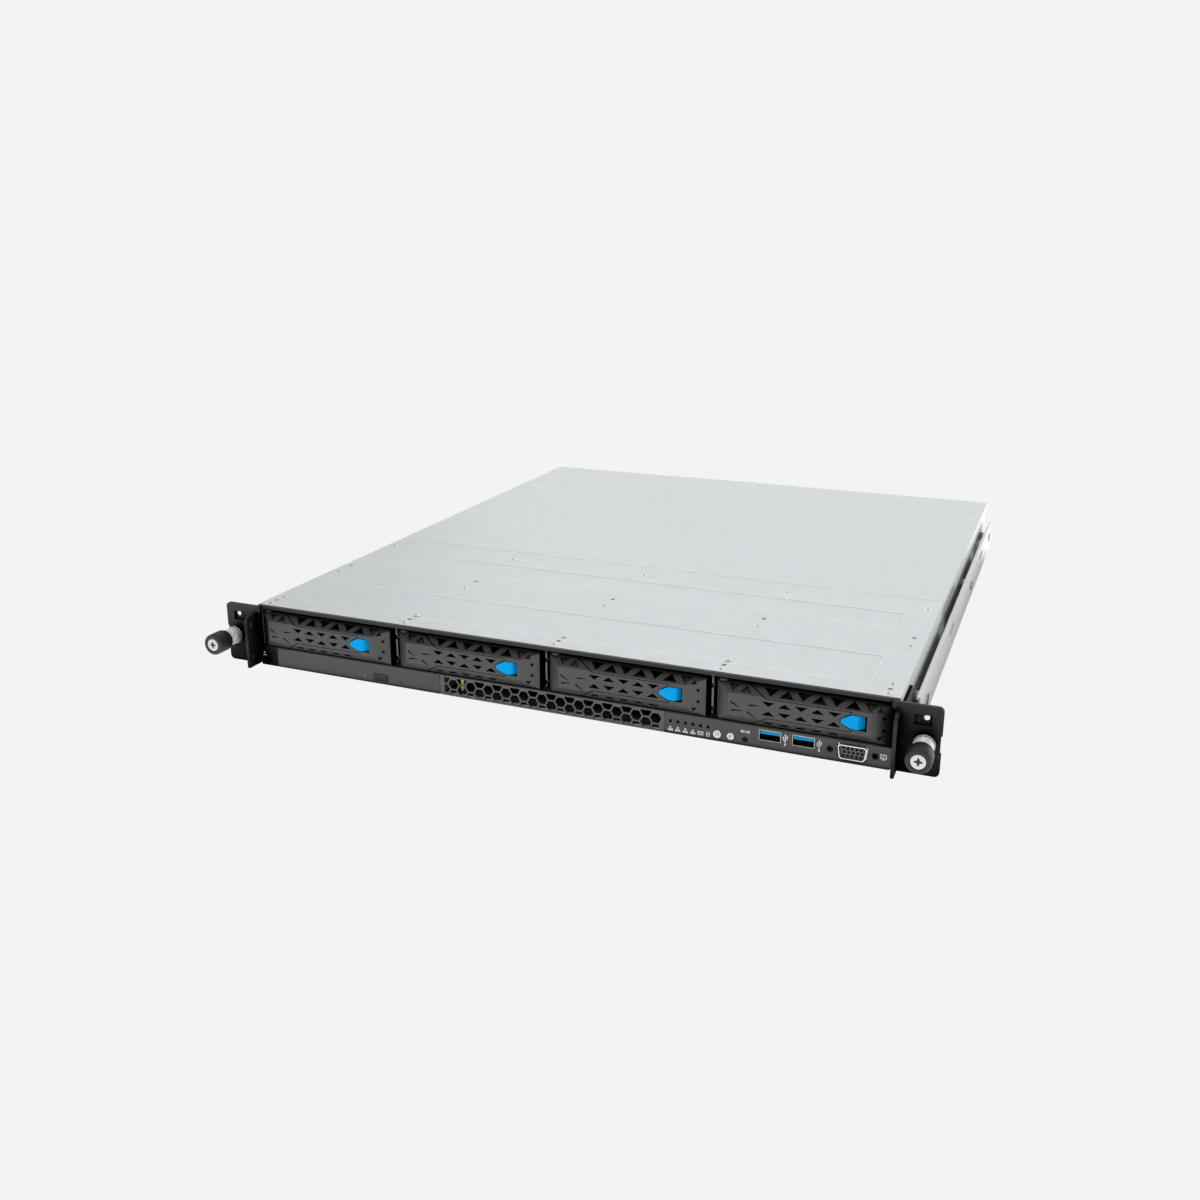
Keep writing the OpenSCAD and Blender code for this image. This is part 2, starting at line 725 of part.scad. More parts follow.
// Outline of the lever, grown by g, with the notch that takes the latch
module lever_outline(g) {
    difference() {
        polygon([[0.5 - 4 * g, tray_z - 4 * g], [lower_gap_x + g, tray_z - 4 * g],
            [lower_gap_x + g, tray_z + 0.3 - g], [corner_x + g * 0.6, strip_z0 - g],
            [lever_end + g, strip_z0 - g], [lever_end + g, strip_z1 + g],
            [corner_x + g * 0.6, strip_z1 + g], [upper_gap_x + g, tray_top - 0.3 + g],
            [upper_gap_x + g, tray_top + 4 * g], [0.5 - 4 * g, tray_top + 4 * g]]);
        if (g == 0) latch_outline(0.7, 0);
    }
}

// Pointed outline of the latch button, grown by g and stretched to the right by e
module latch_outline(g, e) {
    h = latch_h / 2 + g;
    polygon([[latch_x0 - g, latch_z + 1], [latch_x0 + 5.6 - g, latch_z + h],
        [latch_x1 + g + e, latch_z + h], [latch_x1 + g + e, latch_z - h],
        [latch_x0 + 5.6 - g, latch_z - h], [latch_x0 - g, latch_z - 1]]);
}

// Triangle of width w and height h on a pitch point, with its tip up or down
module tri(x, z, w, h, up) {
    d = up ? 1 : -1;
    translate([x, z]) polygon([[-w / 2, -d * h / 2], [w / 2, -d * h / 2], [0, d * h / 2]]);
}

// Cuts outlines a little way into the bezel's skin, wherever it slopes
module sunk_marks() {
    difference() {
        upright(-8, bezel_back) children();
        bezel_form(mark_depth);
    }
}

// Through slots along the sloping top and bottom of the bezel
module bezel_slots() {
    upright(-8, bezel_back - 1.6) for (i = [0 : 5])
        tri(corner_x + 1.6 + i * pitch_tri, slope_z, 8.8, 3.5, i % 2 == 1);
    upright(-8, bezel_back - 1.6) for (i = [0 : 4])
        translate([corner_x - 2 + i * pitch_tri, (tray_z + face_z0) / 2 - 0.9]) square([5, 1.6]);
}

module drive_tray() {
    rail_x = (tray_w - drive_w) / 2;
    color("dimgray") {
        difference() {
            bezel_form(0);
            intersection() {
                bezel_form(1.5);
                block([0, -20, 0], [tray_w, bezel_back, 100]);
            }
            upright(-20, bezel_back) lever_outline(lever_gap);
            upright(-20, bezel_back) latch_outline(0.6, latch_travel * 0.4);
            bezel_slots();
            sunk_marks() {
                tri(corner_x + 1.6 + 6 * pitch_tri, slope_z, 8, 3.2, false);
                for (d = [[6.4, 8.6, 3.6, true], [4.2, 3.2, 2.6, false],
                          [4.2, -3.2, 2.6, true], [6.4, -8.4, 3.6, false]])
                    tri(tray_w - d[0], latch_z + d[1], d[2], 2.4, d[3]);
            }
            block([-1, panel_back, 0], [tray_w + 1, 40, 100]);
            upright(bezel_back - 1, panel_back + 1) for (i = [0 : 7])
                translate([12 + i * 10.4, face_z0 - 2]) round_rect(7, face_z1 - face_z0 + 4, 2);
        }
        for (z = [tray_z, tray_top - lug_h]) translate([0, 0, z]) linear_extrude(lug_h) {
            translate([pivot_x, pivot_y]) circle(r = lug_clear - 0.4);
            translate([0.2, pivot_y]) square([pivot_x + lug_clear - 0.6, panel_back - pivot_y]);
        }
        translate([pivot_x, pivot_y, tray_z + 0.4]) cylinder(h = bezel_h - 0.8, r = lever_pin_r);
        for (z = [latch_z - 3.2, latch_z + 1.8])
            block([latch_x0 + 3, 0.3, z], [latch_x1 + 4, bezel_back + 0.2, z + 1.4]);
        translate([rail_x, 0, 0]) for (s = [0, 1])
            translate([s * drive_w, 0, 0]) mirror([1 - s, 0, 0])
                tray_rail();
        block([rail_x - rail_t, tray_bar_y, drive_z],
              [rail_x + drive_w + rail_t, tray_bar_y + 2.5, drive_z + 4]);
    }
}

// Side rail of a tray, with its slots and a stiffening step
module tray_rail() {
    difference() {
        block([0.05, bezel_back, drive_z], [rail_t, tray_bar_y + 7, drive_z + drive_h - 4]);
        across(-1, rail_t + 1) for (y = [22 : 30 : 130])
            translate([y, drive_z + 9]) round_rect(20, 8, 3.5);
        across(-1, rail_t + 1) translate([drive_l + 3, drive_z + 12]) square([20, 20]);
    }
}

module tray_lever() {
    color("dimgray") difference() {
        union() {
            difference() {
                intersection() {
                    bezel_form(0);
                    upright(-20, 20) lever_outline(0);
                }
                bezel_form(1.6);
                block([-1, bezel_back - 3.2, 0], [200, 40, 100]);
                for (z = [tray_z - 1, tray_top - lug_h - 0.4]) translate([pivot_x, pivot_y, z])
                    cylinder(h = lug_h + 1.4, r = lug_clear);
                upright(-20, 20) for (i = [0 : 4]) {
                    tri(corner_x + 1 + i * pitch_tri, strip_z1 - 2.9, 7.8, 2.8, i % 2 == 1);
                    tri(corner_x + 1 + i * pitch_tri, strip_z0 + 2.9, 7.8, 2.8, i % 2 == 0);
                }
                upright(-20, -face_out + mark_depth) for (d = [[10.4, 14.6, -30], [21.2, 14, 4],
                                                               [11, 9.4, 4], [20.4, 9.6, -30]])
                    translate([d[0], tray_z - 0.6 + d[1]]) rotate(d[2])
                        polygon([[0, -0.55], [0, 0.55], [6.2, 0.15], [6.2, -0.15]]);
                sunk_marks() for (i = [0, 1])
                    tri(corner_x - 20.6 + i * 7.7, slope_z, 6.8, 2.9, i == 1);
            }
            translate([pivot_x, pivot_y, tray_z + lug_h + 0.4])
                cylinder(h = bezel_h - 2 * lug_h - 0.8, r = 2.3);
            for (z = [tray_z + lug_h + 0.4, latch_z - 1, tray_top - lug_h - 2.4])
                intersection() {
                    bezel_form(1);
                    block([pivot_x - 0.8, -face_out, z], [pivot_x + 4.6, pivot_y, z + 2]);
                }
            intersection() {
                bezel_form(1);
                block([pivot_x + 3, -face_out + 1.2, strip_z0 + 0.2],
                      [latch_x0 - 3, -face_out + 3.2, strip_z0 + 1.4]);
            }
        }
        translate([pivot_x, pivot_y, 0]) cylinder(h = 100, r = lever_pin_r + 0.05);
    }
}

// Sliding latch button; its sloped end runs in under the bezel
module tray_latch() {
    f = -face_out - 0.5;
    color("dodgerblue") {
        intersection() {
            upright(-20, 20) latch_outline(0, 0);
            translate([0, 0, tray_z]) linear_extrude(bezel_h) polygon([[latch_x0 - 1, f],
                [latch_x1 - 3.5, f], [latch_x1, f + 3.1], [latch_x1, -0.6], [latch_x0 - 1, -0.6]]);
        }
        block([latch_x0 + 7, -0.7, latch_z - 1.2], [latch_x1 - 1.5, 4, latch_z + 1.2]);
    }
}

module hard_drive() {
    x0 = (tray_w - drive_w) / 2;
    y0 = panel_back + 1.2;
    color("silver") {
        difference() {
            block([x0, y0, drive_z + 1.2], [x0 + drive_w, y0 + drive_l - 6, drive_z + drive_h]);
            for (s = [0, 1], y = [28, 70, 112]) translate([x0 + s * drive_w, y0 + y, drive_z + 7])
                rotate([0, 90, 0]) cylinder(h = 8, r = 1.5, center = true);
            translate([x0 + 6, y0 + 6, drive_z + drive_h - 0.4]) linear_extrude(1)
                round_rect(drive_w - 12, drive_l - 24, 6);
        }
        block([x0 + 4, y0 + 20, drive_z], [x0 + drive_w - 4, y0 + drive_l - 8, drive_z + 1.25]);
        block([x0 + 12, y0 + drive_l - 14, drive_z + 1.2], [x0 + 60, y0 + drive_l - 3.2, drive_z + 8]);
        translate([x0 + drive_w / 2, y0 + 52, drive_z + drive_h - 0.5]) cylinder(h = 0.5, r = 14);
    }
}

module at_bay(n) { translate([bay_x(n) - tray_w / 2, 0, 0]) children(); }

// ---- Inside the chassis ----

backplane_y = 173;

module backplane() {
    color("darkgreen") difference() {
        block([-inner_x + 0.5, backplane_y, bay_z + 0.4], [inner_x - 0.5, backplane_y + 1.6, flange_z - 0.4]);
        for (n = [1 : bays]) upright(backplane_y - 1, backplane_y + 3)
            translate([bay_x(n) - 42, drive_z + 12]) round_rect(84, 11, 3);
    }
    color("black") for (n = [1 : bays])
        block([bay_x(n) - 38, backplane_y - 5.5, drive_z + 1.5],
              [bay_x(n) + 4, backplane_y + 0.05, drive_z + 7.5]);
}

fans = 4;
fan_x0 = -inner_x + 52;
function fan_x(n) = fan_x0 + (n - 1) * (2 * inner_x - 104) / (fans - 1);
fan_hub_r = 11.5;
fan_axle_r = 1.5;

module fan_frame(x) {
    s = fan_side / 2;
    difference() {
        block([x - s, fan_y, fan_z], [x + s, fan_y + fan_l, fan_z + fan_side]);
        rod_y(x, fan_z + s, fan_y - 1, fan_y + fan_l + 1, s - 1.2);
        for (i = [-1, 1], j = [-1, 1])
            rod_y(x + i * (s - 4), fan_z + s + j * (s - 4), fan_y - 1, fan_y + fan_l + 1, 1.8);
    }
    rod_y(x, fan_z + s, fan_y + fan_l - 4, fan_y + fan_l - 1, fan_hub_r);
    for (a = [45 : 90 : 315]) translate([x, fan_y + fan_l - 3, fan_z + s]) rotate([0, a, 0])
        translate([fan_hub_r - 1, -1, -1]) cube([s - 1 - fan_hub_r + 1.2, 2, 2]);
    difference() {
        rod_y(x, fan_z + s, fan_y + fan_l - 9, fan_y + fan_l - 3.9, 3.2);
        rod_y(x, fan_z + s, fan_y + 1, fan_y + fan_l - 4.5, fan_axle_r + 0.05);
    }
}

module fan_frames() {
    color("black") for (n = [1 : fans]) fan_frame(fan_x(n));
}

// Hub with curved blades on an axle, turning about Y
module rotor(x, y0, z, tip_r, hub_r, l, axle_l) {
    translate([x, y0, z]) rotate([-90, 0, 0]) {
        difference() {
            cylinder(h = l, r = hub_r);
            translate([0, 0, 1.5]) cylinder(h = l, r = hub_r - 1.3);
        }
        cylinder(h = axle_l, r = fan_axle_r);
        for (a = [0 : 360 / 7 : 359]) rotate([0, 0, a]) translate([0, 0, 0.8])
            linear_extrude(l - 2) polygon([[hub_r - 0.6, -1.6], [tip_r - 0.3, 3.2],
                [tip_r, 4.6], [hub_r - 0.6, 0.2]]);
    }
}

module fan_rotor(n) {
    color("black") rotor(fan_x(n), fan_y + 2, fan_z + fan_side / 2, fan_side / 2 - 2.6,
        fan_hub_r, fan_l - 13, fan_l - 7);
}

socket_x = board_x0 + 118;
socket_y = board_y0 + 96;

module main_board() {
    z1 = board_z + board_t;
    color("darkgreen") difference() {
        block([board_x0, board_y0, board_z], [board_x1, board_y0 + board_l, z1]);
        for (x = [board_x0 + 8, (board_x0 + board_x1) / 2, board_x1 - 8],
             y = [board_y0 + 8, board_y0 + board_l - 12])
            translate([x, y, 0]) cylinder(h = 40, r = 1.6);
    }
    color("silver") block([socket_x - 30, socket_y - 32, z1 - 0.05], [socket_x + 30, socket_y + 32, z1 + 3]);
    color("dimgray") {
        translate([board_x0 + 60, board_y0 + 188, z1 - 0.05]) cylinder(h = 6, r = 12);
        for (i = [0 : 5]) translate([board_x0 + 62 + i * 11, board_y0 + 30, z1 - 0.05])
            cylinder(h = 9, r = 4);
        block([board_x0 + 18, board_y0 + 150, z1 - 0.05], [board_x0 + 26, board_y0 + 246, z1 + 10]);
        block([board_x0 + 6, board_y0 + 20, z1 - 0.05], [board_x0 + 15, board_y0 + 72, z1 + 9]);
        block([board_x1 - 90, board_y0 + 172, z1 - 0.05], [board_x1 - 62, board_y0 + 200, z1 + 2]);
    }
}

// Passive finned heat sink clamped on the processor
module cpu_heatsink() {
    z0 = board_z + board_t + 3.05;
    fins = 24;
    fin_pitch = 3.4;
    w = fins * fin_pitch;
    color("silver") {
        block([socket_x - w / 2, socket_y - 42, z0], [socket_x + w / 2, socket_y + 42, z0 + 4]);
        for (i = [0 : fins - 1])
            block([socket_x - w / 2 + i * fin_pitch, socket_y - 42, z0 + 3.9],
                  [socket_x - w / 2 + i * fin_pitch + 0.6, socket_y + 42, wall_top - 3.4]);
        for (i = [-1, 1], j = [-1, 1])
            translate([socket_x + i * (w / 2 - 7), socket_y + j * 37, z0 + 3.9]) cylinder(h = 6, r = 2.8);
    }
}

module memory_modules() {
    z1 = board_z + board_t;
    for (i = [0 : 3]) {
        x = socket_x + 52 + i * 10;
        color("black") difference() {
            block([x, socket_y - 70, z1 + 0.05], [x + 6, socket_y + 70, z1 + 6]);
            block([x + 2.3, socket_y - 66, z1 + 2], [x + 3.7, socket_y + 66, z1 + 9]);
        }
        color("darkgreen") block([x + 2.35, socket_y - 65, z1 + 2.1], [x + 3.65, socket_y + 65, z1 + 26]);
        color("dimgray") for (j = [0 : 7])
            block([x + 1.4, socket_y - 60 + j * 15.4, z1 + 9], [x + 4.6, socket_y - 50 + j * 15.4, z1 + 23]);
    }
}

// Bracket that closes the expansion slots at the rear and carries the riser card
module riser_bracket() {
    color("silver") {
        difference() {
            block([slot_x0 - 2, body_d - chassis_t - 1.1, 14.5],
                  [slot_x0 + slot_w + 2, body_d - chassis_t - 0.1, 37]);
            for (i = [0 : 8], z = [18, 26])
                block([slot_x0 + 5 + i * 5.6, body_d - 4, z], [slot_x0 + 7.6 + i * 5.6, body_d + 2, z + 6]);
        }
        block([slot_x0 - 2, body_d - 110, 36], [slot_x0 + slot_w + 2, body_d - chassis_t - 1.0, 37]);
        block([slot_x0 - 2, body_d - 110, board_z - 4], [slot_x0 - 1, body_d - chassis_t - 0.2, 37]);
    }
    color("darkgreen")
        block([slot_x0 - 0.95, body_d - 106, 12], [slot_x0 + 0.65, body_d - 16, 35.9]);
}

port_w = 16;
lan_count = 3;

module rear_ports() {
    y1 = body_d + 0.6;
    y0 = body_d - 22;
    z0 = board_z + board_t + 0.05;
    color("silver") {
        difference() {
            upright(body_d - chassis_t - 0.9, body_d - chassis_t - 0.1) translate([io_x0 - 2, rear_z0 - 1.5])
                square([io_x1 - io_x0 + 4, rear_z1 - rear_z0 + 4]);
            for (i = [0 : lan_count - 1]) block([io_x0 + 52 + i * 22, y0, z0],
                [io_x0 + 52 + i * 22 + port_w, y1 + 1, z0 + 13.6]);
            block([io_x0 + 30, y0, z0], [io_x0 + 44, y1 + 1, z0 + 16]);
            upright(y0, y1 + 1) translate([io_x0 + 136, z0 + 6.5]) d_outline(0.3);
            rod_y(io_x0 + 12, z0 + 8, y0, y1 + 1, 3.2);
        }
        for (i = [0 : lan_count - 1]) difference() {
            block([io_x0 + 52.2 + i * 22, y0, z0], [io_x0 + 51.8 + i * 22 + port_w, y1, z0 + 13.4]);
            block([io_x0 + 54 + i * 22, body_d - 12, z0 + 2], [io_x0 + 50 + i * 22 + port_w, y1 + 1, z0 + 10]);
        }
        difference() {
            block([io_x0 + 30.2, y0, z0], [io_x0 + 43.8, y1, z0 + 15.8]);
            for (j = [0, 1]) block([io_x0 + 30.8, body_d - 14, z0 + 1.2 + j * 7.6],
                                   [io_x0 + 43.2, y1 + 1, z0 + 6.6 + j * 7.6]);
        }
        difference() {
            upright(body_d - 8, y1 + 4.5) translate([io_x0 + 136, z0 + 6.5]) d_outline(0);
            upright(body_d - 4, y1 + 9) translate([io_x0 + 136, z0 + 6.5]) d_outline(-0.45);
        }
        rod_y(io_x0 + 12, z0 + 8, body_d - 6, y1, 2.4);
    }
}

psu_fan_x = psu_x0 + 28;
psu_fan_z = psu_z0 + psu_h / 2;

module psu_case() {
    inlet_x = psu_x0 + 76;
    color("silver") difference() {
        block([psu_x0, psu_y0, psu_z0], [psu_x0 + psu_w, body_d + 0.5, psu_z0 + psu_h]);
        block([psu_x0 + 1, psu_y0 + 1, psu_z0 + 1],
              [psu_x0 + psu_w - 1, body_d - 30, psu_z0 + psu_h - 1]);
        rod_y(psu_fan_x, psu_fan_z, body_d - 31, body_d - 0.6, 18.4);
        upright(body_d - 2, body_d + 2) translate([psu_fan_x, psu_fan_z]) for (r = [5.5, 10, 14.5])
            for (a = [0 : 90 : 270]) rotate(a + 8) difference() {
                intersection() { circle(r = r + 3.2); square([r + 4, r + 4]); }
                circle(r = r);
                rotate(-8) square([2, 60], center = true);
            }
        upright(body_d - 17, body_d + 1) translate([inlet_x - 12, psu_fan_z - 8]) round_rect(24, 16, 4);
        across(psu_x0 + psu_w - 3, psu_x0 + psu_w + 1) for (i = [0 : 9])
            translate([psu_y0 + 14 + i * 12, psu_z0 + 8]) square([7, 24]);
    }
    color("black") for (d = [[-7, -2], [7, -2], [0, 2]])
        block([inlet_x + d[0] - 1, body_d - 17.1, psu_fan_z + d[1] - 2],
              [inlet_x + d[0] + 1, body_d - 3, psu_fan_z + d[1] + 2]);
    color("silver") difference() {
        rod_y(psu_fan_x, psu_fan_z, body_d - 5, body_d - 0.5, 4);
        rod_y(psu_fan_x, psu_fan_z, body_d - 10, body_d - 1.5, fan_axle_r + 0.05);
    }
}

module psu_fan_rotor() {
    color("black") rotor(psu_fan_x, body_d - 24, psu_fan_z, 17.4, 9.5, 14, 21.5);
}

// Bent wire handle screwed to the power supply's rear
module psu_handle() {
    x0 = psu_x0 + 53;
    color("black") {
        rod_y(x0, psu_fan_z + 9, body_d + 0.52, back_y - 1.6, 1.4);
        rod_y(x0, psu_fan_z - 9, body_d + 0.52, back_y - 1.6, 1.4);
        translate([x0, back_y - 1.6, psu_fan_z - 11.5]) cylinder(h = 23, r = 1.6);
    }
}

// ---- Placing of every node ----

place() chassis_base();
place() front_frame();
place() drive_cage();
place() front_top_cover();
place() rear_top_cover();
place() cover_screw();
place() rivets();
place() left_side_rail();
place() right_side_rail();
place() left_ear();
place() right_ear();
place() ear_sleeves();
place() left_spring_seat();
place() right_spring_seat();
place() left_thumbscrew();
place() right_thumbscrew();
place() front_grille();
place() port_panel();
place() port_board();
place() usb_sockets();
place() display_socket();
place() display_insert();
place() power_button();
place() id_button();
place() reset_button();
place() optical_case();
place() optical_tray();
place() optical_bezel();
place() optical_button();
place() at_bay(1) drive_tray();  // drive_tray_1
place() at_bay(2) drive_tray();  // drive_tray_2
place() at_bay(3) drive_tray();  // drive_tray_3
place() at_bay(4) drive_tray();  // drive_tray_4
place() at_bay(1) tray_lever();  // tray_lever_1
place() at_bay(2) tray_lever();  // tray_lever_2
place() at_bay(3) tray_lever();  // tray_lever_3
place() at_bay(4) tray_lever();  // tray_lever_4
place() at_bay(1) tray_latch();  // tray_latch_1
place() at_bay(2) tray_latch();  // tray_latch_2
place() at_bay(3) tray_latch();  // tray_latch_3
place() at_bay(4) tray_latch();  // tray_latch_4
place() at_bay(1) hard_drive();  // hard_drive_1
place() at_bay(2) hard_drive();  // hard_drive_2
place() at_bay(3) hard_drive();  // hard_drive_3
place() at_bay(4) hard_drive();  // hard_drive_4
place() backplane();
place() fan_frames();
place() fan_rotor(1);  // fan_rotor_1
place() fan_rotor(2);  // fan_rotor_2
place() fan_rotor(3);  // fan_rotor_3
place() fan_rotor(4);  // fan_rotor_4
place() main_board();
place() cpu_heatsink();
place() memory_modules();
place() riser_bracket();
place() rear_ports();
place() psu_case();
place() psu_fan_rotor();
place() psu_handle();
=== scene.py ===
"""Looks of a 1u rack server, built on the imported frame.

The frame's solids keep their shapes and get finishes here. Small parts that
the frame leaves out, such as knurls, icons, contacts, labels and springs, are
built as meshes and ride on the frame's bodies. Boxes, pieces and finishes are
measured in millimetres, the studio in metres.
"""

import logging
import math
from dataclasses import dataclass, field
from enum import Enum
from typing import ClassVar, Iterable, Mapping, Sequence

import bmesh
import bpy
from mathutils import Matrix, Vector


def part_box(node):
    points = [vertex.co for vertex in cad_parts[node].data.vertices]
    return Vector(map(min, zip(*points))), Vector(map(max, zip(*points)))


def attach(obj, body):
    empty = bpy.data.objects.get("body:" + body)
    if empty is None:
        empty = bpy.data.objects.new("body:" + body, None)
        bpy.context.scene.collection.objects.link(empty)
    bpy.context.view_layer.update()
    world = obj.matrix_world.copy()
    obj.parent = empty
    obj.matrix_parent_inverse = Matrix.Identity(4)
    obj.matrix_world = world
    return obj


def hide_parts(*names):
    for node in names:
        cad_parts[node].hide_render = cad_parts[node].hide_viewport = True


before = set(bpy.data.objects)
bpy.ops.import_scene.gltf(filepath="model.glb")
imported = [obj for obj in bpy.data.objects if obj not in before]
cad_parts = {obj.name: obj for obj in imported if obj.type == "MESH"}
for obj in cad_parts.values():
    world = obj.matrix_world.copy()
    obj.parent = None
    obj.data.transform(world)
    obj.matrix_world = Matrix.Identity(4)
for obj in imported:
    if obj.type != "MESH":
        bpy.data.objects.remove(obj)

LOG = logging.getLogger("rack_server")
MM = 0.001
Colour = tuple[float, float, float] | float
Point = tuple[float, float]
Ring = list[bmesh.types.BMVert]
Socket = bpy.types.NodeSocket
Sockets = Mapping[str, Socket]


class Axis(Enum):
    """Direction that a turned or extruded form runs along."""

    X = 0
    Y = 1
    Z = 2

    def place(self, u: float, v: float, w: float) -> Vector:
        """Point with u and v across the axis and w along it."""
        if self is Axis.X:
            return Vector((w, u, v))
        if self is Axis.Y:
            return Vector((u, w, v))
        return Vector((u, v, w))


class Grain(Enum):
    """Fine structure of a surface."""

    SPECKLE = "powder coat or moulded texture"
    BRUSHED = "rolled or brushed metal"
    CAST = "cast or blasted metal"


@dataclass(frozen=True)
class Box:
    """Lowest and highest corner of a node, in millimetres."""

    low: Vector
    high: Vector

    @classmethod
    def of(cls, name: str) -> "Box":
        """Box round a frame node."""
        low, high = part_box(name)
        return cls(Vector(low) / MM, Vector(high) / MM)

    @property
    def centre(self) -> Vector:
        """Middle of the box."""
        return (self.low + self.high) / 2

    @property
    def size(self) -> Vector:
        """Edge lengths of the box."""
        return self.high - self.low


# ---- Node sheets and shared effects ----


def rgba(colour: Colour) -> tuple[float, float, float, float]:
    """Colour with full alpha; a single number is a grey."""
    return (*colour, 1.0) if isinstance(colour, tuple) else (colour, colour, colour, 1.0)


class Sheet:
    """A node tree with short calls for adding and joining nodes."""

    def __init__(self, tree: bpy.types.NodeTree) -> None:
        """Wraps a material's, world's or group's tree."""
        self.tree = tree

    @classmethod
    def fresh(cls, owner: bpy.types.Material | bpy.types.World) -> "Sheet":
        """Empty sheet of a new material or world."""
        owner.use_nodes = True
        owner.node_tree.nodes.clear()
        return cls(owner.node_tree)

    def add(self, kind: str, inputs: Mapping[str | int, object] | None = None,
            **values: object) -> bpy.types.Node:
        """Adds a node.

        Args:
            kind: Blender's name of the node type.
            inputs: What feeds its inputs: an output socket, a number or a sequence.
            values: Attributes to set on it.

        Returns:
            The node.
        """
        node = self.tree.nodes.new(kind)
        for name, value in values.items():
            setattr(node, name, value)
        self.feed(node, inputs or {})
        return node

    def feed(self, node: bpy.types.Node, inputs: Mapping[str | int, object]) -> None:
        """Joins a node's inputs to outputs, or sets them."""
        for key, value in inputs.items():
            if isinstance(value, Socket):
                self.tree.links.new(value, node.inputs[key])
            else:
                node.inputs[key].default_value = value

    def math(self, operation: str, a: object, b: object = 0.0, clamp: bool = False) -> Socket:
        """Adds a Math node and returns its result."""
        return self.add("ShaderNodeMath", {0: a, 1: b}, operation=operation,
                        use_clamp=clamp).outputs[0]

    def times(self, a: object, b: object, clamp: bool = False) -> Socket:
        """Multiplies two values."""
        return self.math("MULTIPLY", a, b, clamp)

    def span(self, value: object, low: float, high: float,
             to_low: float = 0.0, to_high: float = 1.0) -> Socket:
        """Adds a clamped Map Range node and returns its result."""
        inputs = dict(enumerate((value, low, high, to_low, to_high)))
        return self.add("ShaderNodeMapRange", inputs).outputs["Result"]

    def blend(self, factor: object, a: object, b: object) -> Socket:
        """Adds a colour Mix node and returns its colour."""
        return self.add("ShaderNodeMix", {"Factor": factor, 6: a, 7: b},
                        data_type="RGBA").outputs[2]

    def stretch(self, vector: object, factors: Sequence[float]) -> Socket:
        """Multiplies a vector by three factors and returns it."""
        return self.add("ShaderNodeVectorMath", {0: vector, 1: factors},
                        operation="MULTIPLY").outputs[0]

    def noise(self, vector: object, scale: object, detail: float, rough: float) -> Socket:
        """Adds a Noise Texture and returns its value."""
        return self.add("ShaderNodeTexNoise", {"Vector": vector, "Scale": scale, "Detail": detail,
                                               "Roughness": rough}).outputs["Fac"]

    def split(self, vector: object, part: str) -> Socket:
        """Adds a Separate XYZ node and returns one part."""
        return self.add("ShaderNodeSeparateXYZ", {0: vector}).outputs[part]


class Effect:
    """Base of an effect that several finishes share, kept as one node group."""

    label = "effect"
    inputs: tuple[tuple[str, float | None], ...] = ()
    outputs: tuple[str, ...] = ()

    def __init__(self) -> None:
        """Builds the group with its named sockets; an input without a number is a vector."""
        self.group = bpy.data.node_groups.new(self.label, "ShaderNodeTree")
        sockets = self.group.interface
        for name, value in self.inputs:
            kind = "NodeSocketVector" if value is None else "NodeSocketFloat"
            socket = sockets.new_socket(name=name, in_out="INPUT", socket_type=kind)
            if value is not None:
                socket.default_value = value
        for name in self.outputs:
            sockets.new_socket(name=name, in_out="OUTPUT", socket_type="NodeSocketFloat")
        sheet = Sheet(self.group)
        given, result = sheet.add("NodeGroupInput"), sheet.add("NodeGroupOutput")
        sheet.feed(result, self.draw(sheet, given.outputs))

    def draw(self, sheet: Sheet, given: Sockets) -> dict[str, object]:
        """Draws the group's nodes between its inputs and the outputs that it returns."""
        raise NotImplementedError

    def use(self, sheet: Sheet, **values: object) -> Sockets:
        """Places the group in a material's sheet with some inputs, and returns its outputs."""
        return sheet.add("ShaderNodeGroup", values, node_tree=self.group).outputs


class EdgeWear(Effect):
    """Mask of edges that handling has rubbed bright."""

    label = "edge_wear"
    inputs = (("Width", 0.0004), ("Breakup", 400.0), ("Amount", 0.5), ("Vector", None))
    outputs = ("Mask",)

    def draw(self, sheet: Sheet, given: Sockets) -> dict[str, object]:
        """Compares a rounded normal with the face's own, broken up by noise."""
        bevel = sheet.add("ShaderNodeBevel", {"Radius": given["Width"]}, samples=4)
        plain = sheet.add("ShaderNodeNewGeometry").outputs["Normal"]
        dot = sheet.add("ShaderNodeVectorMath", {0: bevel.outputs[0], 1: plain},
                        operation="DOT_PRODUCT")
        bend = sheet.span(dot.outputs["Value"], 0.995, 0.8)
        patch = sheet.noise(given["Vector"], given["Breakup"], 3.0, 0.6)
        rubbed = sheet.times(bend, sheet.span(patch, 0.42, 0.62))
        return {"Mask": sheet.times(rubbed, given["Amount"], True)}


class FineGrain(Effect):
    """Height and tone of a fine speckle."""

    label = "fine_grain"
    inputs = (("Vector", None), ("Scale", 2000.0), ("Depth", 1.0))
    outputs = ("Height", "Tone")

    def draw(self, sheet: Sheet, given: Sockets) -> dict[str, object]:
        """Joins a fine noise with round cells of the same size."""
        fine = sheet.noise(given["Vector"], given["Scale"], 3.0, 0.65)
        cell = sheet.add("ShaderNodeTexVoronoi", {"Vector": given["Vector"],
                                                  "Scale": given["Scale"]}, feature="SMOOTH_F1")
        weak, round_ = sheet.times(fine, 0.6), sheet.times(cell.outputs["Distance"], 0.4)
        height = sheet.times(sheet.math("ADD", weak, round_), given["Depth"])
        return {"Height": height, "Tone": sheet.span(fine, 0.3, 0.7)}


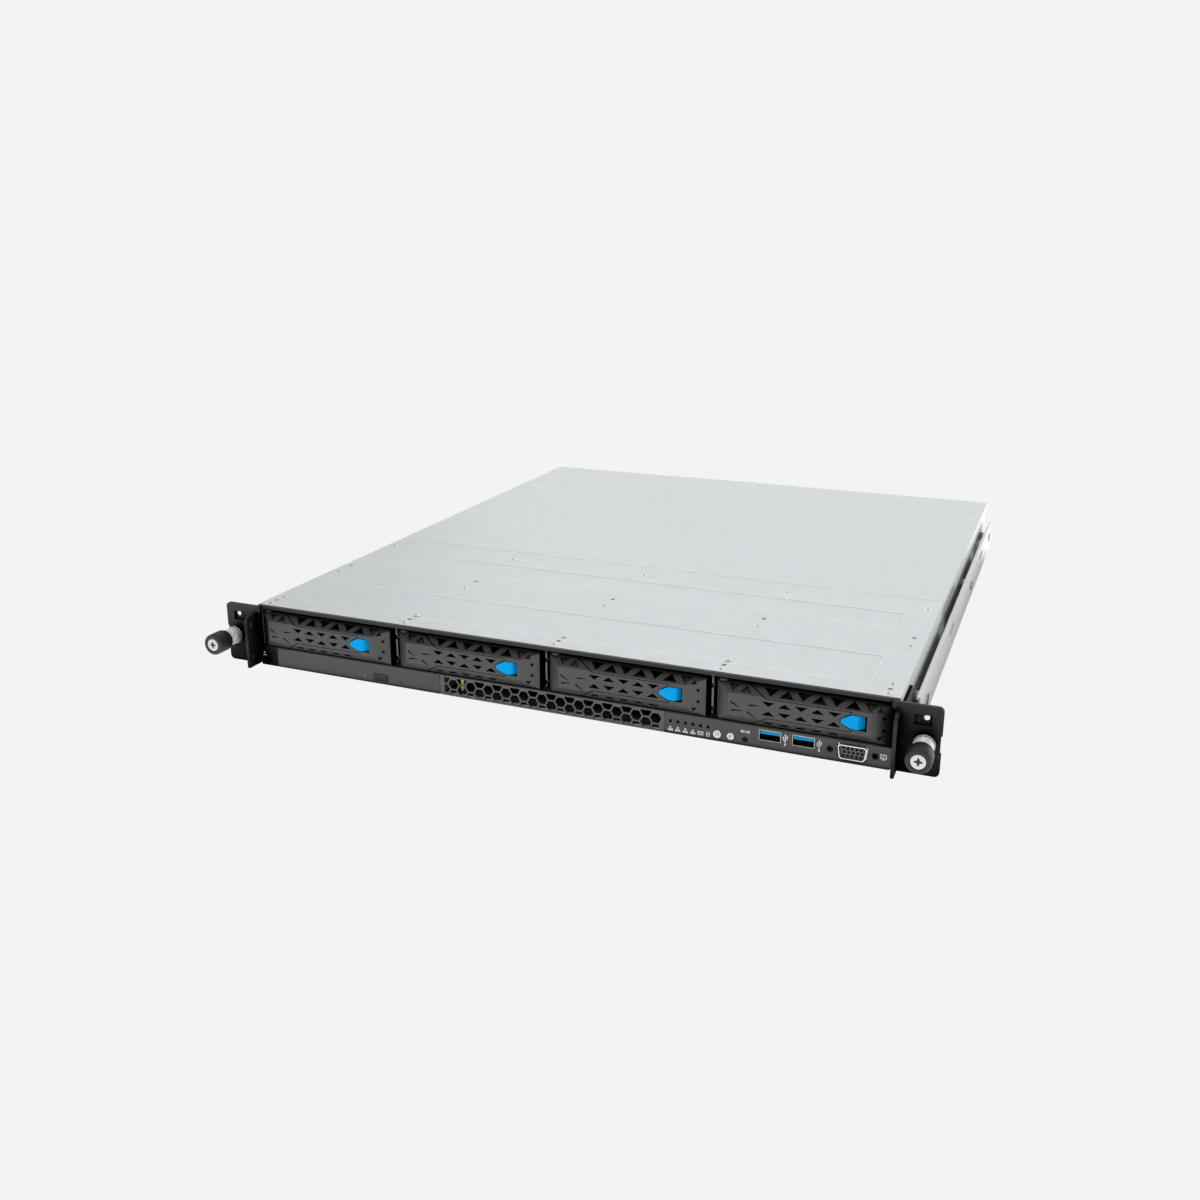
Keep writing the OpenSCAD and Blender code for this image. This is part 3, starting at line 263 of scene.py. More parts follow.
class Smudges(Effect):
    """Slow changes of tone and gloss from handling and dirt."""

    label = "smudges"
    inputs = (("Vector", None), ("Scale", 12.0), ("Amount", 0.5))
    outputs = ("Tone", "Gloss")

    def draw(self, sheet: Sheet, given: Sockets) -> dict[str, object]:
        """Warps a slow noise with a quicker one."""
        slow = sheet.noise(given["Vector"], given["Scale"], 4.0, 0.55)
        quick = sheet.noise(given["Vector"], sheet.times(given["Scale"], 7.0), 5.0, 0.6)
        tone = sheet.span(sheet.math("ADD", slow, sheet.times(quick, 0.35)), 0.5, 0.85)
        tone = sheet.times(tone, given["Amount"], True)
        gloss = sheet.math("SUBTRACT", sheet.span(quick, 0.35, 0.65), 0.5)
        return {"Tone": tone, "Gloss": sheet.times(gloss, given["Amount"])}


class SettledDust(Effect):
    """Mask of pale dust on surfaces that face up."""

    label = "settled_dust"
    inputs = (("Vector", None), ("Amount", 0.1))
    outputs = ("Mask",)

    def draw(self, sheet: Sheet, given: Sockets) -> dict[str, object]:
        """Takes the part of the normal that points up, broken by noise."""
        normal = sheet.add("ShaderNodeNewGeometry").outputs["Normal"]
        up = sheet.span(sheet.split(normal, "Z"), 0.4, 1.0)
        speck = sheet.span(sheet.noise(given["Vector"], 900.0, 4.0, 0.7), 0.45, 0.75)
        return {"Mask": sheet.times(sheet.times(up, speck), given["Amount"], True)}


class RecessShade(Effect):
    """Painted shade: a mask that falls towards zero inside narrow gaps and holes."""

    label = "recess"
    inputs = (("Reach", 0.004), ("Power", 3.0))
    outputs = ("Mask",)

    def draw(self, sheet: Sheet, given: Sockets) -> dict[str, object]:
        """Sharpens how open the surroundings of a place are."""
        open_ = sheet.add("ShaderNodeAmbientOcclusion", {"Distance": given["Reach"]}, samples=6)
        raised = sheet.math("POWER", open_.outputs["AO"], given["Power"])
        return {"Mask": sheet.span(raised, 0.08, 0.75)}


@dataclass(frozen=True)
class Effects:
    """The shared groups, each built once."""

    wear: EdgeWear
    grain: FineGrain
    smudges: Smudges
    dust: SettledDust
    recess: RecessShade

    @classmethod
    def build(cls) -> "Effects":
        """Builds every shared group."""
        return cls(EdgeWear(), FineGrain(), Smudges(), SettledDust(), RecessShade())


# ---- Finishes ----

DUST: Colour = (0.55, 0.54, 0.52)
# Colour of the painted shade that finishes blend into gaps and holes.
RECESS_SHADE_COLOUR: Colour = 0.0004
SMUDGE_SCALE = 14.0
BUMP_STRENGTH = 0.6


@dataclass(frozen=True)
class Finish:
    """A surface finish with its colours, gloss, grain, wear and painted recess shade; lengths are
    in millimetres.
    """

    name: str
    slot: str
    base: Colour
    shade: Colour
    roughness: float
    metallic: float
    spread: float
    grain_scale: float
    grain_height: float
    tone_mix: float
    edge: Colour
    edge_amount: float
    edge_width: float
    smudge: float
    dust: float
    grain: Grain = Grain.SPECKLE
    coat: float = 0.0
    shine: float = 0.5
    # Reach in millimetres of the painted shade in gaps and holes; 0 paints none.
    recess: float = 0.0

    def stretch(self) -> tuple[float, float, float]:
        """Factors that pull the grain along the rolling direction."""
        return (0.04, 1.0, 1.0) if self.grain is Grain.BRUSHED else (1.0, 1.0, 1.0)

    def pattern(self, sheet: Sheet, vector: Socket, colour: Socket) -> Socket:
        """Draws this finish's own pattern over the plain colour.

        Args:
            sheet: The material's sheet.
            vector: Place on the object, in metres.
            colour: The colour so far.

        Returns:
            The colour with the pattern on it.
        """
        return colour

    def extras(self) -> dict[str, object]:
        """Shader inputs that only this finish sets."""
        return {}

    def material(self, effects: Effects) -> bpy.types.Material:
        """Builds the material, with the shared effects joined to its shader; painted recess shade
        only where a reach is set.
        """
        made = bpy.data.materials.new(self.name)
        sheet = Sheet.fresh(made)
        shader = sheet.add("ShaderNodeBsdfPrincipled")
        sheet.add("ShaderNodeOutputMaterial", {"Surface": shader.outputs[0]})
        place = sheet.add("ShaderNodeTexCoord").outputs["Object"]
        grain = effects.grain.use(sheet, Vector=sheet.stretch(place, self.stretch()),
                                  Scale=self.grain_scale)
        smudge = effects.smudges.use(sheet, Vector=place, Scale=SMUDGE_SCALE, Amount=self.smudge)
        wear = effects.wear.use(sheet, Vector=place, Width=self.edge_width * MM,
                                Amount=self.edge_amount)
        dust = effects.dust.use(sheet, Vector=place, Amount=self.dust)
        tone = sheet.times(grain["Tone"], self.tone_mix)
        tone = sheet.math("ADD", tone, sheet.times(smudge["Tone"], 0.4), True)
        colour = sheet.blend(tone, rgba(self.base), rgba(self.shade))
        colour = self.pattern(sheet, place, colour)
        colour = sheet.blend(wear["Mask"], colour, rgba(self.edge))
        colour = sheet.blend(dust["Mask"], colour, rgba(DUST))
        shine: object = self.shine
        # Painted shade: inside gaps and holes the colour goes towards near black and the sheen is
        # dimmed.
        if self.recess > 0:
            recess_open = effects.recess.use(sheet, Reach=self.recess * MM)["Mask"]
            colour = sheet.blend(recess_open, rgba(RECESS_SHADE_COLOUR), colour)
            shine = sheet.times(recess_open, self.shine)
        rough = sheet.math("ADD", self.roughness, sheet.times(smudge["Gloss"], self.spread))
        rough = sheet.math("ADD", rough, sheet.times(dust["Mask"], 0.4), True)
        bump = sheet.add("ShaderNodeBump", {"Strength": BUMP_STRENGTH,
                                            "Distance": self.grain_height * MM,
                                            "Height": grain["Height"]})
        sheet.feed(shader, {"Specular IOR Level": shine, "Base Color": colour, "Roughness": rough,
                            "Metallic": self.metallic, "Coat Weight": self.coat,
                            "Normal": bump.outputs[0], **self.extras()})
        return made


@dataclass(frozen=True)
class Zinc(Finish):
    """Zinc-coated sheet with its faint crystal flakes."""

    def pattern(self, sheet: Sheet, vector: Socket, colour: Socket) -> Socket:
        """Lays slow rolling streaks and small flakes over the colour."""
        cell = sheet.add("ShaderNodeTexVoronoi", {"Vector": vector, "Scale": 420.0})
        parts = sheet.add("ShaderNodeSeparateColor", {0: cell.outputs["Color"]})
        flake = sheet.times(parts.outputs[0], 0.08)
        streak = sheet.noise(sheet.stretch(vector, (0.05, 1.0, 1.0)), 160.0, 3.0, 0.6)
        factor = sheet.math("ADD", flake, sheet.times(sheet.span(streak, 0.35, 0.65), 0.06))
        return sheet.blend(factor, colour, rgba(self.edge))


@dataclass(frozen=True)
class BoardFinish(Finish):
    """Printed board with tracks, pads and plated holes."""

    track: Colour = (0.03, 0.16, 0.07)
    pad: Colour = (0.55, 0.42, 0.16)

    def pattern(self, sheet: Sheet, vector: Socket, colour: Socket) -> Socket:
        """Draws rows of tracks and scattered plated holes."""
        brick = sheet.add("ShaderNodeTexBrick", {"Vector": vector, "Scale": 60.0,
                                                 "Mortar Size": 0.035, "Brick Width": 0.9,
                                                 "Row Height": 0.08}, offset=0.37,
                          offset_frequency=3, squash=0.6, squash_frequency=2)
        colour = sheet.blend(brick.outputs["Fac"], colour, rgba(self.track))
        cell = sheet.add("ShaderNodeTexVoronoi", {"Vector": vector, "Scale": 170.0}, feature="F1")
        hole = sheet.span(cell.outputs["Distance"], 0.17, 0.13)
        return sheet.blend(hole, colour, rgba(self.pad))


@dataclass(frozen=True)
class CapFinish(Finish):
    """Moulded cap that lets a little light under its skin."""

    inside: float = 0.1

    def extras(self) -> dict[str, object]:
        """Soft look of moulded plastic."""
        return {"Subsurface Weight": self.inside, "Subsurface Radius": (0.001, 0.001, 0.001),
                "Subsurface Scale": 0.5}


@dataclass(frozen=True)
class LitFinish(Finish):
    """Clear or milky part that shines a little by itself."""

    light: Colour = 1.0
    strength: float = 0.2

    def extras(self) -> dict[str, object]:
        """Its glow."""
        return {"Emission Color": rgba(self.light), "Emission Strength": self.strength}


class Coat(Enum):
    """Every finish on the server."""

    ZINC = Zinc("zinc_sheet", "zinc_sheet", (0.52, 0.54, 0.55), (0.46, 0.48, 0.49), 0.4, 0.5, 0.12,
                3000, 0.012, 0.3, (0.74, 0.75, 0.76), 0.5, 0.3, 0.5, 0.02, grain=Grain.CAST)
    # Painted shade: the cage's zinc sheet, darkened to stand in for the shade in the gaps between
    # the trays.
    SHADED_CAGE = Zinc("shaded_cage_sheet", "zinc_sheet", (0.17, 0.175, 0.18), (0.13, 0.135, 0.14), 0.45, 0.5,
                0.12, 3000, 0.012, 0.3, (0.4, 0.41, 0.42), 0.5, 0.3, 0.5, 0.02, grain=Grain.CAST,
                recess=6.0)
    RAIL = Zinc("rail_steel", "steel_hardware", (0.72, 0.73, 0.74), (0.66, 0.67, 0.68), 0.4, 0.3,
                0.12, 2500, 0.02, 0.3, (0.8, 0.8, 0.82), 0.5, 0.4, 0.6, 0.02, grain=Grain.BRUSHED)
    POWDER = Finish("black_powder_coat", "black_steel", (0.007, 0.007, 0.0074),
                    (0.012, 0.012, 0.0124), 0.48, 0.0, 0.12, 2200, 0.05, 0.5, 0.12, 0.35, 0.4, 0.4,
                    0.01, shine=0.3, recess=20.0)
    MOULDED = Finish("black_moulding", "black_plastic", (0.02, 0.02, 0.0203),
                     (0.028, 0.028, 0.0283), 0.4, 0.0, 0.14, 3200, 0.03, 0.4, 0.12, 0.45, 0.3, 0.4,
                     0.01, recess=11.0)
    FASCIA = Finish("grey_fascia", "grey_fascia", (0.046, 0.046, 0.0466), (0.058, 0.058, 0.0586),
                    0.45, 0.0, 0.1, 2600, 0.04, 0.4, 0.14, 0.3, 0.3, 0.3, 0.01, shine=0.35,
                    recess=3.0)
    STEEL = Finish("bright_steel", "steel_hardware", (0.62, 0.62, 0.63), (0.5, 0.5, 0.51), 0.24,
                   0.95, 0.14, 1800, 0.015, 0.35, 0.9, 0.5, 0.2, 0.6, 0.0, grain=Grain.BRUSHED)
    TIN = Finish("tinned_parts", "circuit_board", (0.5, 0.47, 0.42), (0.32, 0.28, 0.24), 0.4, 0.7,
                 0.14, 900, 0.01, 0.8, (0.8, 0.8, 0.78), 0.4, 0.1, 0.6, 0.0, grain=Grain.CAST)
    KNOB = Finish("knob_black", "knob_black", (0.007, 0.007, 0.0074), (0.013, 0.013, 0.0134), 0.36,
                  0.0, 0.12, 2600, 0.02, 0.4, (0.3, 0.3, 0.31), 0.7, 0.2, 0.4, 0.01, shine=0.3,
                  recess=2.0)
    PLATED = Finish("plated_steel", "steel_hardware", 0.78, (0.66, 0.67, 0.67), 0.26, 0.35, 0.12,
                    1800, 0.015, 0.35, 0.9, 0.5, 0.2, 0.5, 0.0, grain=Grain.BRUSHED, recess=4.0)
    CORE = Finish("screw_core", "steel_hardware", (0.56, 0.54, 0.51), (0.48, 0.46, 0.44), 0.3, 0.35,
                  0.12, 1800, 0.015, 0.35, (0.8, 0.78, 0.75), 0.5, 0.2, 0.5, 0.0,
                  grain=Grain.BRUSHED, shine=0.3, recess=2.0)
    SHELL = Finish("socket_shell", "steel_hardware", (0.5, 0.44, 0.4), (0.4, 0.36, 0.33), 0.34, 0.7,
                   0.12, 1800, 0.015, 0.35, (0.6, 0.55, 0.5), 0.5, 0.2, 0.5, 0.0,
                   grain=Grain.BRUSHED, recess=8.0)
    GRILLE = Finish("grille_grey", "grille_grey", 0.075, 0.055, 0.42, 0.2, 0.12, 2400, 0.03, 0.35,
                    0.25, 0.4, 0.2, 0.4, 0.01)
    AZURE = CapFinish("azure_cap", "blue_button", (0.0, 0.37, 0.82), (0.0, 0.33, 0.76), 0.4, 0.0,
                      0.08, 3600, 0.02, 0.25, (0.05, 0.5, 0.92), 0.15, 0.3, 0.3, 0.0, shine=0.12,
                      inside=0.0)
    CAP_WHITE = CapFinish("white_cap", "white_button", (0.78, 0.78, 0.77), (0.7, 0.7, 0.69), 0.32,
                          0.0, 0.08, 3600, 0.01, 0.25, 0.85, 0.1, 0.2, 0.4, 0.0)
    INSERT = Finish("socket_insert", "socket_insert", (0.045, 0.043, 0.042), (0.06, 0.058, 0.056),
                    0.42, 0.0, 0.1, 3000, 0.02, 0.3, (0.16, 0.15, 0.14), 0.2, 0.2, 0.3, 0.01,
                    recess=2.0)
    SOCKET = Finish("socket_black", "socket_insert", (0.012, 0.012, 0.014), (0.02, 0.02, 0.023),
                    0.4, 0.0, 0.1, 3000, 0.02, 0.3, (0.1, 0.1, 0.12), 0.2, 0.2, 0.3, 0.02)
    BOARD = BoardFinish("circuit_board", "circuit_board", (0.008, 0.075, 0.03),
                        (0.006, 0.06, 0.024), 0.33, 0.0, 0.1, 2000, 0.02, 0.3, (0.35, 0.32, 0.18),
                        0.3, 0.2, 0.4, 0.02, coat=0.2)
    DRIVE = Finish("drive_casting", "drive_body", (0.5, 0.5, 0.51), (0.42, 0.42, 0.43), 0.4, 0.8,
                   0.12, 1600, 0.04, 0.35, (0.75, 0.75, 0.76), 0.4, 0.3, 0.5, 0.02,
                   grain=Grain.CAST, recess=20.0)
    HEATSINK = Finish("heatsink_metal", "heatsink_metal", (0.66, 0.66, 0.67), (0.56, 0.56, 0.57),
                      0.3, 0.9, 0.12, 1500, 0.02, 0.3, (0.85, 0.85, 0.86), 0.3, 0.2, 0.4, 0.02,
                      grain=Grain.BRUSHED)
    PRINT = Finish("white_print", "white_button", 0.74, 0.66, 0.5, 0.0, 0.05, 4000, 0.005, 0.3, 0.9,
                   0.0, 0.1, 0.3, 0.0)
    INK_GREY = Finish("grey_print", "white_button", (0.16, 0.16, 0.17), (0.22, 0.22, 0.23), 0.5,
                      0.0, 0.05, 4000, 0.005, 0.3, 0.3, 0.0, 0.1, 0.3, 0.0)
    TONGUE = CapFinish("socket_tongue_blue", "blue_button", (0.0, 0.3, 0.62), (0.0, 0.25, 0.52),
                       0.35, 0.0, 0.08, 3600, 0.01, 0.25, (0.1, 0.4, 0.7), 0.1, 0.2, 0.3, 0.0,
                       shine=0.2, inside=0.0)
    GOLD = Finish("contact_gold", "steel_hardware", (0.83, 0.6, 0.24), (0.7, 0.5, 0.2), 0.25, 1.0,
                  0.1, 2500, 0.005, 0.3, (0.95, 0.75, 0.4), 0.2, 0.1, 0.4, 0.0, grain=Grain.BRUSHED)
    BRASS = Finish("pillar_brass", "steel_hardware", (0.45, 0.33, 0.08), (0.36, 0.26, 0.06), 0.35,
                   0.8, 0.12, 2000, 0.01, 0.3, (0.75, 0.6, 0.25), 0.3, 0.2, 0.5, 0.0,
                   grain=Grain.BRUSHED)
    LABEL = Finish("blank_label", "drive_body", (0.74, 0.74, 0.72), (0.68, 0.68, 0.66), 0.55, 0.0,
                   0.08, 3000, 0.01, 0.3, 0.8, 0.2, 0.2, 0.6, 0.02)
    CHIP = Finish("chip_body", "black_plastic", (0.012, 0.012, 0.013), (0.02, 0.02, 0.022), 0.45,
                  0.0, 0.1, 2800, 0.01, 0.4, 0.08, 0.3, 0.2, 0.4, 0.01, shine=0.3)
    FAN_BLADE = Finish("fan_blade", "black_plastic", (0.02, 0.02, 0.021), (0.03, 0.03, 0.031), 0.3,
                       0.0, 0.12, 3000, 0.01, 0.4, 0.1, 0.3, 0.3, 0.5, 0.03)
    FAN_HUB = Finish("fan_hub", "black_plastic", (0.03, 0.03, 0.031), (0.045, 0.045, 0.046), 0.5,
                     0.0, 0.12, 2500, 0.02, 0.4, 0.1, 0.3, 0.3, 0.5, 0.03, grain=Grain.CAST)
    WIRE_BLACK = Finish("wire_black", "black_plastic", 0.01, 0.016, 0.42, 0.0, 0.1, 2500, 0.01, 0.4,
                        0.06, 0.2, 0.3, 0.5, 0.02)
    WIRE_YELLOW = Finish("wire_yellow", "black_plastic", (0.75, 0.5, 0.02), (0.65, 0.43, 0.02),
                         0.42, 0.0, 0.1, 2500, 0.01, 0.4, (0.8, 0.6, 0.1), 0.2, 0.3, 0.5, 0.02)
    WIRE_RED = Finish("wire_red", "black_plastic", (0.5, 0.015, 0.012), (0.42, 0.012, 0.01), 0.42,
                      0.0, 0.1, 2500, 0.01, 0.4, (0.6, 0.1, 0.1), 0.2, 0.3, 0.5, 0.02)
    SMOKED = Finish("smoked_lens", "black_plastic", (0.006, 0.006, 0.007), (0.01, 0.01, 0.011),
                    0.12, 0.0, 0.06, 3000, 0.004, 0.3, 0.05, 0.1, 0.1, 0.2, 0.0, coat=0.05,
                    shine=0.15, recess=3.0)
    LENS = LitFinish("lamp_lens", "white_button", (0.5, 0.5, 0.48), (0.42, 0.42, 0.4), 0.2, 0.0,
                     0.05, 3000, 0.005, 0.2, 0.7, 0.0, 0.1, 0.2, 0.0, light=(0.9, 0.9, 0.85),
                     strength=0.03)


class Palette:
    """Builds each finish once and hands out its material."""

    def __init__(self) -> None:
        """Builds the shared effects."""
        self.effects = Effects.build()
        self.made: dict[Coat, bpy.types.Material] = {}

    def of(self, coat: Coat) -> bpy.types.Material:
        """Material of a finish, built on first use."""
        if coat not in self.made:
            self.made[coat] = coat.value.material(self.effects)
        return self.made[coat]

    def dress(self, coat: Coat, nodes: Iterable[str]) -> None:
        """Gives a finish to frame nodes."""
        for name in nodes:
            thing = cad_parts[name]
            if not thing.material_slots:
                thing.data.materials.append(None)
            for slot in thing.material_slots:
                slot.material = self.of(coat)
            LOG.info("dressed %s in %s", name, coat.value.name)


# ---- Mesh building ----

SHARP_EDGE = 0.5
NEARLY_UPRIGHT = 0.05
SMOOTH_BELOW = math.radians(32)


def turns(count: int) -> list[float]:
    """Angles that share a full turn equally."""
    return [2 * math.pi * k / count for k in range(count)]


@dataclass
class Piece:
    """One named mesh under construction, measured in millimetres from a movable origin."""

    name: str
    coat: Coat
    body: str
    palette: Palette
    origin: Vector = field(default_factory=Vector)
    mesh: bmesh.types.BMesh = field(default_factory=bmesh.new)

    def at(self, x: float, y: float, z: float) -> "Piece":
        """Moves the origin, and returns the piece."""
        self.origin = Vector((x, y, z))
        return self

    def vert(self, spot: Vector) -> bmesh.types.BMVert:
        """Adds a vertex."""
        return self.mesh.verts.new((self.origin + spot) * MM)

    def loop(self, outline: Sequence[Point], axis: Axis, along: float) -> Ring:
        """Adds the corners of an outline across an axis."""
        return [self.vert(axis.place(u, v, along)) for u, v in outline]

    def ring(self, axis: Axis, radius: float, along: float, sides: int,
             ridges: int = 0, deep: float = 0.0) -> Ring:
        """Adds a ring about an axis through the origin, or one vertex where its radius is 0.

        Args:
            axis: Direction of the axis.
            radius: Radius of the ring.
            along: Its place along the axis.
            sides: Vertices round it.
            ridges: How many ridges it has.
            deep: Depth between its ridges.

        Returns:
            The new vertices in order.
        """
        spots = []
        for turn in (turns(sides) if radius > 0 else [0.0]):
            reach = radius - deep * (1 + math.cos(ridges * turn)) / 2
            spots.append((reach * math.cos(turn), reach * math.sin(turn)))
        return self.loop(spots, axis, along)

    def skin(self, rings: Sequence[Ring]) -> None:
        """Joins each ring to the next; a ring of one vertex closes an end."""
        for first, second in zip(rings, rings[1:]):
            sides = max(len(first), len(second))
            for k in range(sides if sides > 1 else 0):
                n = (k + 1) % sides
                if len(first) == 1:
                    self.mesh.faces.new((first[0], second[k], second[n]))
                elif len(second) == 1:
                    self.mesh.faces.new((first[k], first[n], second[0]))
                else:
                    self.mesh.faces.new((first[k], first[n], second[n], second[k]))

    def soften(self, verts: Ring, bevel: float) -> None:
        """Bevels the sharp edges between some new vertices."""
        if bevel <= 0:
            return
        chosen = set(verts)
        edges = [e for e in self.mesh.edges if e.verts[0] in chosen and e.verts[1] in chosen
                 and len(e.link_faces) == 2 and e.calc_face_angle() > SHARP_EDGE]
        bmesh.ops.bevel(self.mesh, geom=edges, offset=bevel * MM, segments=2, profile=0.5,
                        affect="EDGES", clamp_overlap=True)

    def block(self, low: Sequence[float], high: Sequence[float], bevel: float = 0.0) -> None:
        """Adds a block between two corners, its edges softened by a bevel."""
        before = set(self.mesh.verts)
        bmesh.ops.create_cube(self.mesh, size=1.0)
        fresh = [v for v in self.mesh.verts if v not in before]
        a, b = (self.origin + Vector(low)) * MM, (self.origin + Vector(high)) * MM
        for vert in fresh:
            vert.co = Vector([(a[i] + b[i]) / 2 + vert.co[i] * (b[i] - a[i]) for i in range(3)])
        self.soften(fresh, bevel)

    def prism(self, outline: Sequence[Point], axis: Axis, start: float, end: float,
              bevel: float = 0.0) -> None:
        """Adds an outline pulled along an axis.

        Args:
            outline: Corners of the outline across the axis.
            axis: Direction of the pull.
            start: Where it starts along the axis.
            end: Where it ends.
            bevel: Width of the softened edges.
        """
        bottom, top = self.loop(outline, axis, start), self.loop(outline, axis, end)
        count = len(outline)
        self.mesh.faces.new(bottom)
        self.mesh.faces.new(list(reversed(top)))
        for i in range(count):
            j = (i + 1) % count
            self.mesh.faces.new((bottom[j], bottom[i], top[i], top[j]))
        self.soften(bottom + top, bevel)

    def turned(self, profile: Sequence[Point], axis: Axis, sides: int) -> None:
        """Adds a form turned about an axis through the origin.

        Args:
            profile: Pairs of radius and place along the axis; a radius of 0 closes an end.
            axis: Direction of the axis.
            sides: Facets round the form.
        """
        self.skin([self.ring(axis, radius, along, sides) for radius, along in profile])

    def wire(self, path: Sequence[Sequence[float]], radius: float, sides: int = 8) -> None:
        """Adds a round wire whose middle passes through the points of a path."""
        rings = []
        spots = [Vector(spot) for spot in path]
        for i, spot in enumerate(spots):
            ahead = (spots[min(i + 1, len(spots) - 1)] - spots[max(i - 1, 0)]).normalized()
            side = ahead.cross(Vector((0.0, 0.0, 1.0)))
            if side.length < NEARLY_UPRIGHT:
                side = ahead.cross(Vector((1.0, 0.0, 0.0)))
            side.normalize()
            over = side.cross(ahead)
            rings.append([self.vert(spot + radius * (math.cos(t) * side + math.sin(t) * over))
                          for t in turns(sides)])
        self.skin(rings)
        self.mesh.faces.new(list(reversed(rings[0])))
        self.mesh.faces.new(rings[-1])

    def done(self, replaces: Sequence[str] = (), smooth: bool = False) -> bpy.types.Object:
        """Turns the mesh into an object that rides on its body.

        Args:
            replaces: Frame nodes that it stands for.
            smooth: Whether faces that meet at a small angle shade as one.

        Returns:
            The object.
        """
        bmesh.ops.recalc_face_normals(self.mesh, faces=self.mesh.faces)
        data = bpy.data.meshes.new(self.name)
        self.mesh.to_mesh(data)
        self.mesh.free()
        thing = bpy.data.objects.new(self.name, data)
        bpy.context.scene.collection.objects.link(thing)
        data.materials.append(self.palette.of(self.coat))
        if smooth:
            data.shade_smooth()
            data.set_sharp_from_angle(angle=SMOOTH_BELOW)
        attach(thing, self.body)
        if replaces:
            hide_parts(*replaces)
        LOG.info("built %s on %s", self.name, self.body)
        return thing


# ---- Sub-assemblies ----


@dataclass
class Assembly:
    """Base of a sub-assembly, which dresses frame nodes and builds small parts."""

    wears: ClassVar[tuple[tuple[Coat | str, ...], ...]] = ()
    palette: Palette

    def build(self) -> None:
        """Gives each node its finish and adds the small parts."""
        for coat, *nodes in self.wears:
            self.palette.dress(coat, nodes)
        self.fit()

    def fit(self) -> None:
        """Builds the small parts."""
        raise NotImplementedError

    def piece(self, name: str, coat: Coat, body: str = "chassis") -> Piece:
        """Starts a mesh that will ride on a body."""
        return Piece(name, coat, body, self.palette)


class Glyph(Enum):
    """Plain picture printed beside a lamp, button or socket."""

    NETWORK = "three stations on one line"
    MESSAGE = "envelope"
    DRIVE = "drum"
    POWER = "ring with a bar"
    LOCATE = "ring with a dot"
    RESET = "two arrows and a square"
    FORK = "fork with three prongs"
    SCREEN = "monitor"
    WARNING = "triangle"


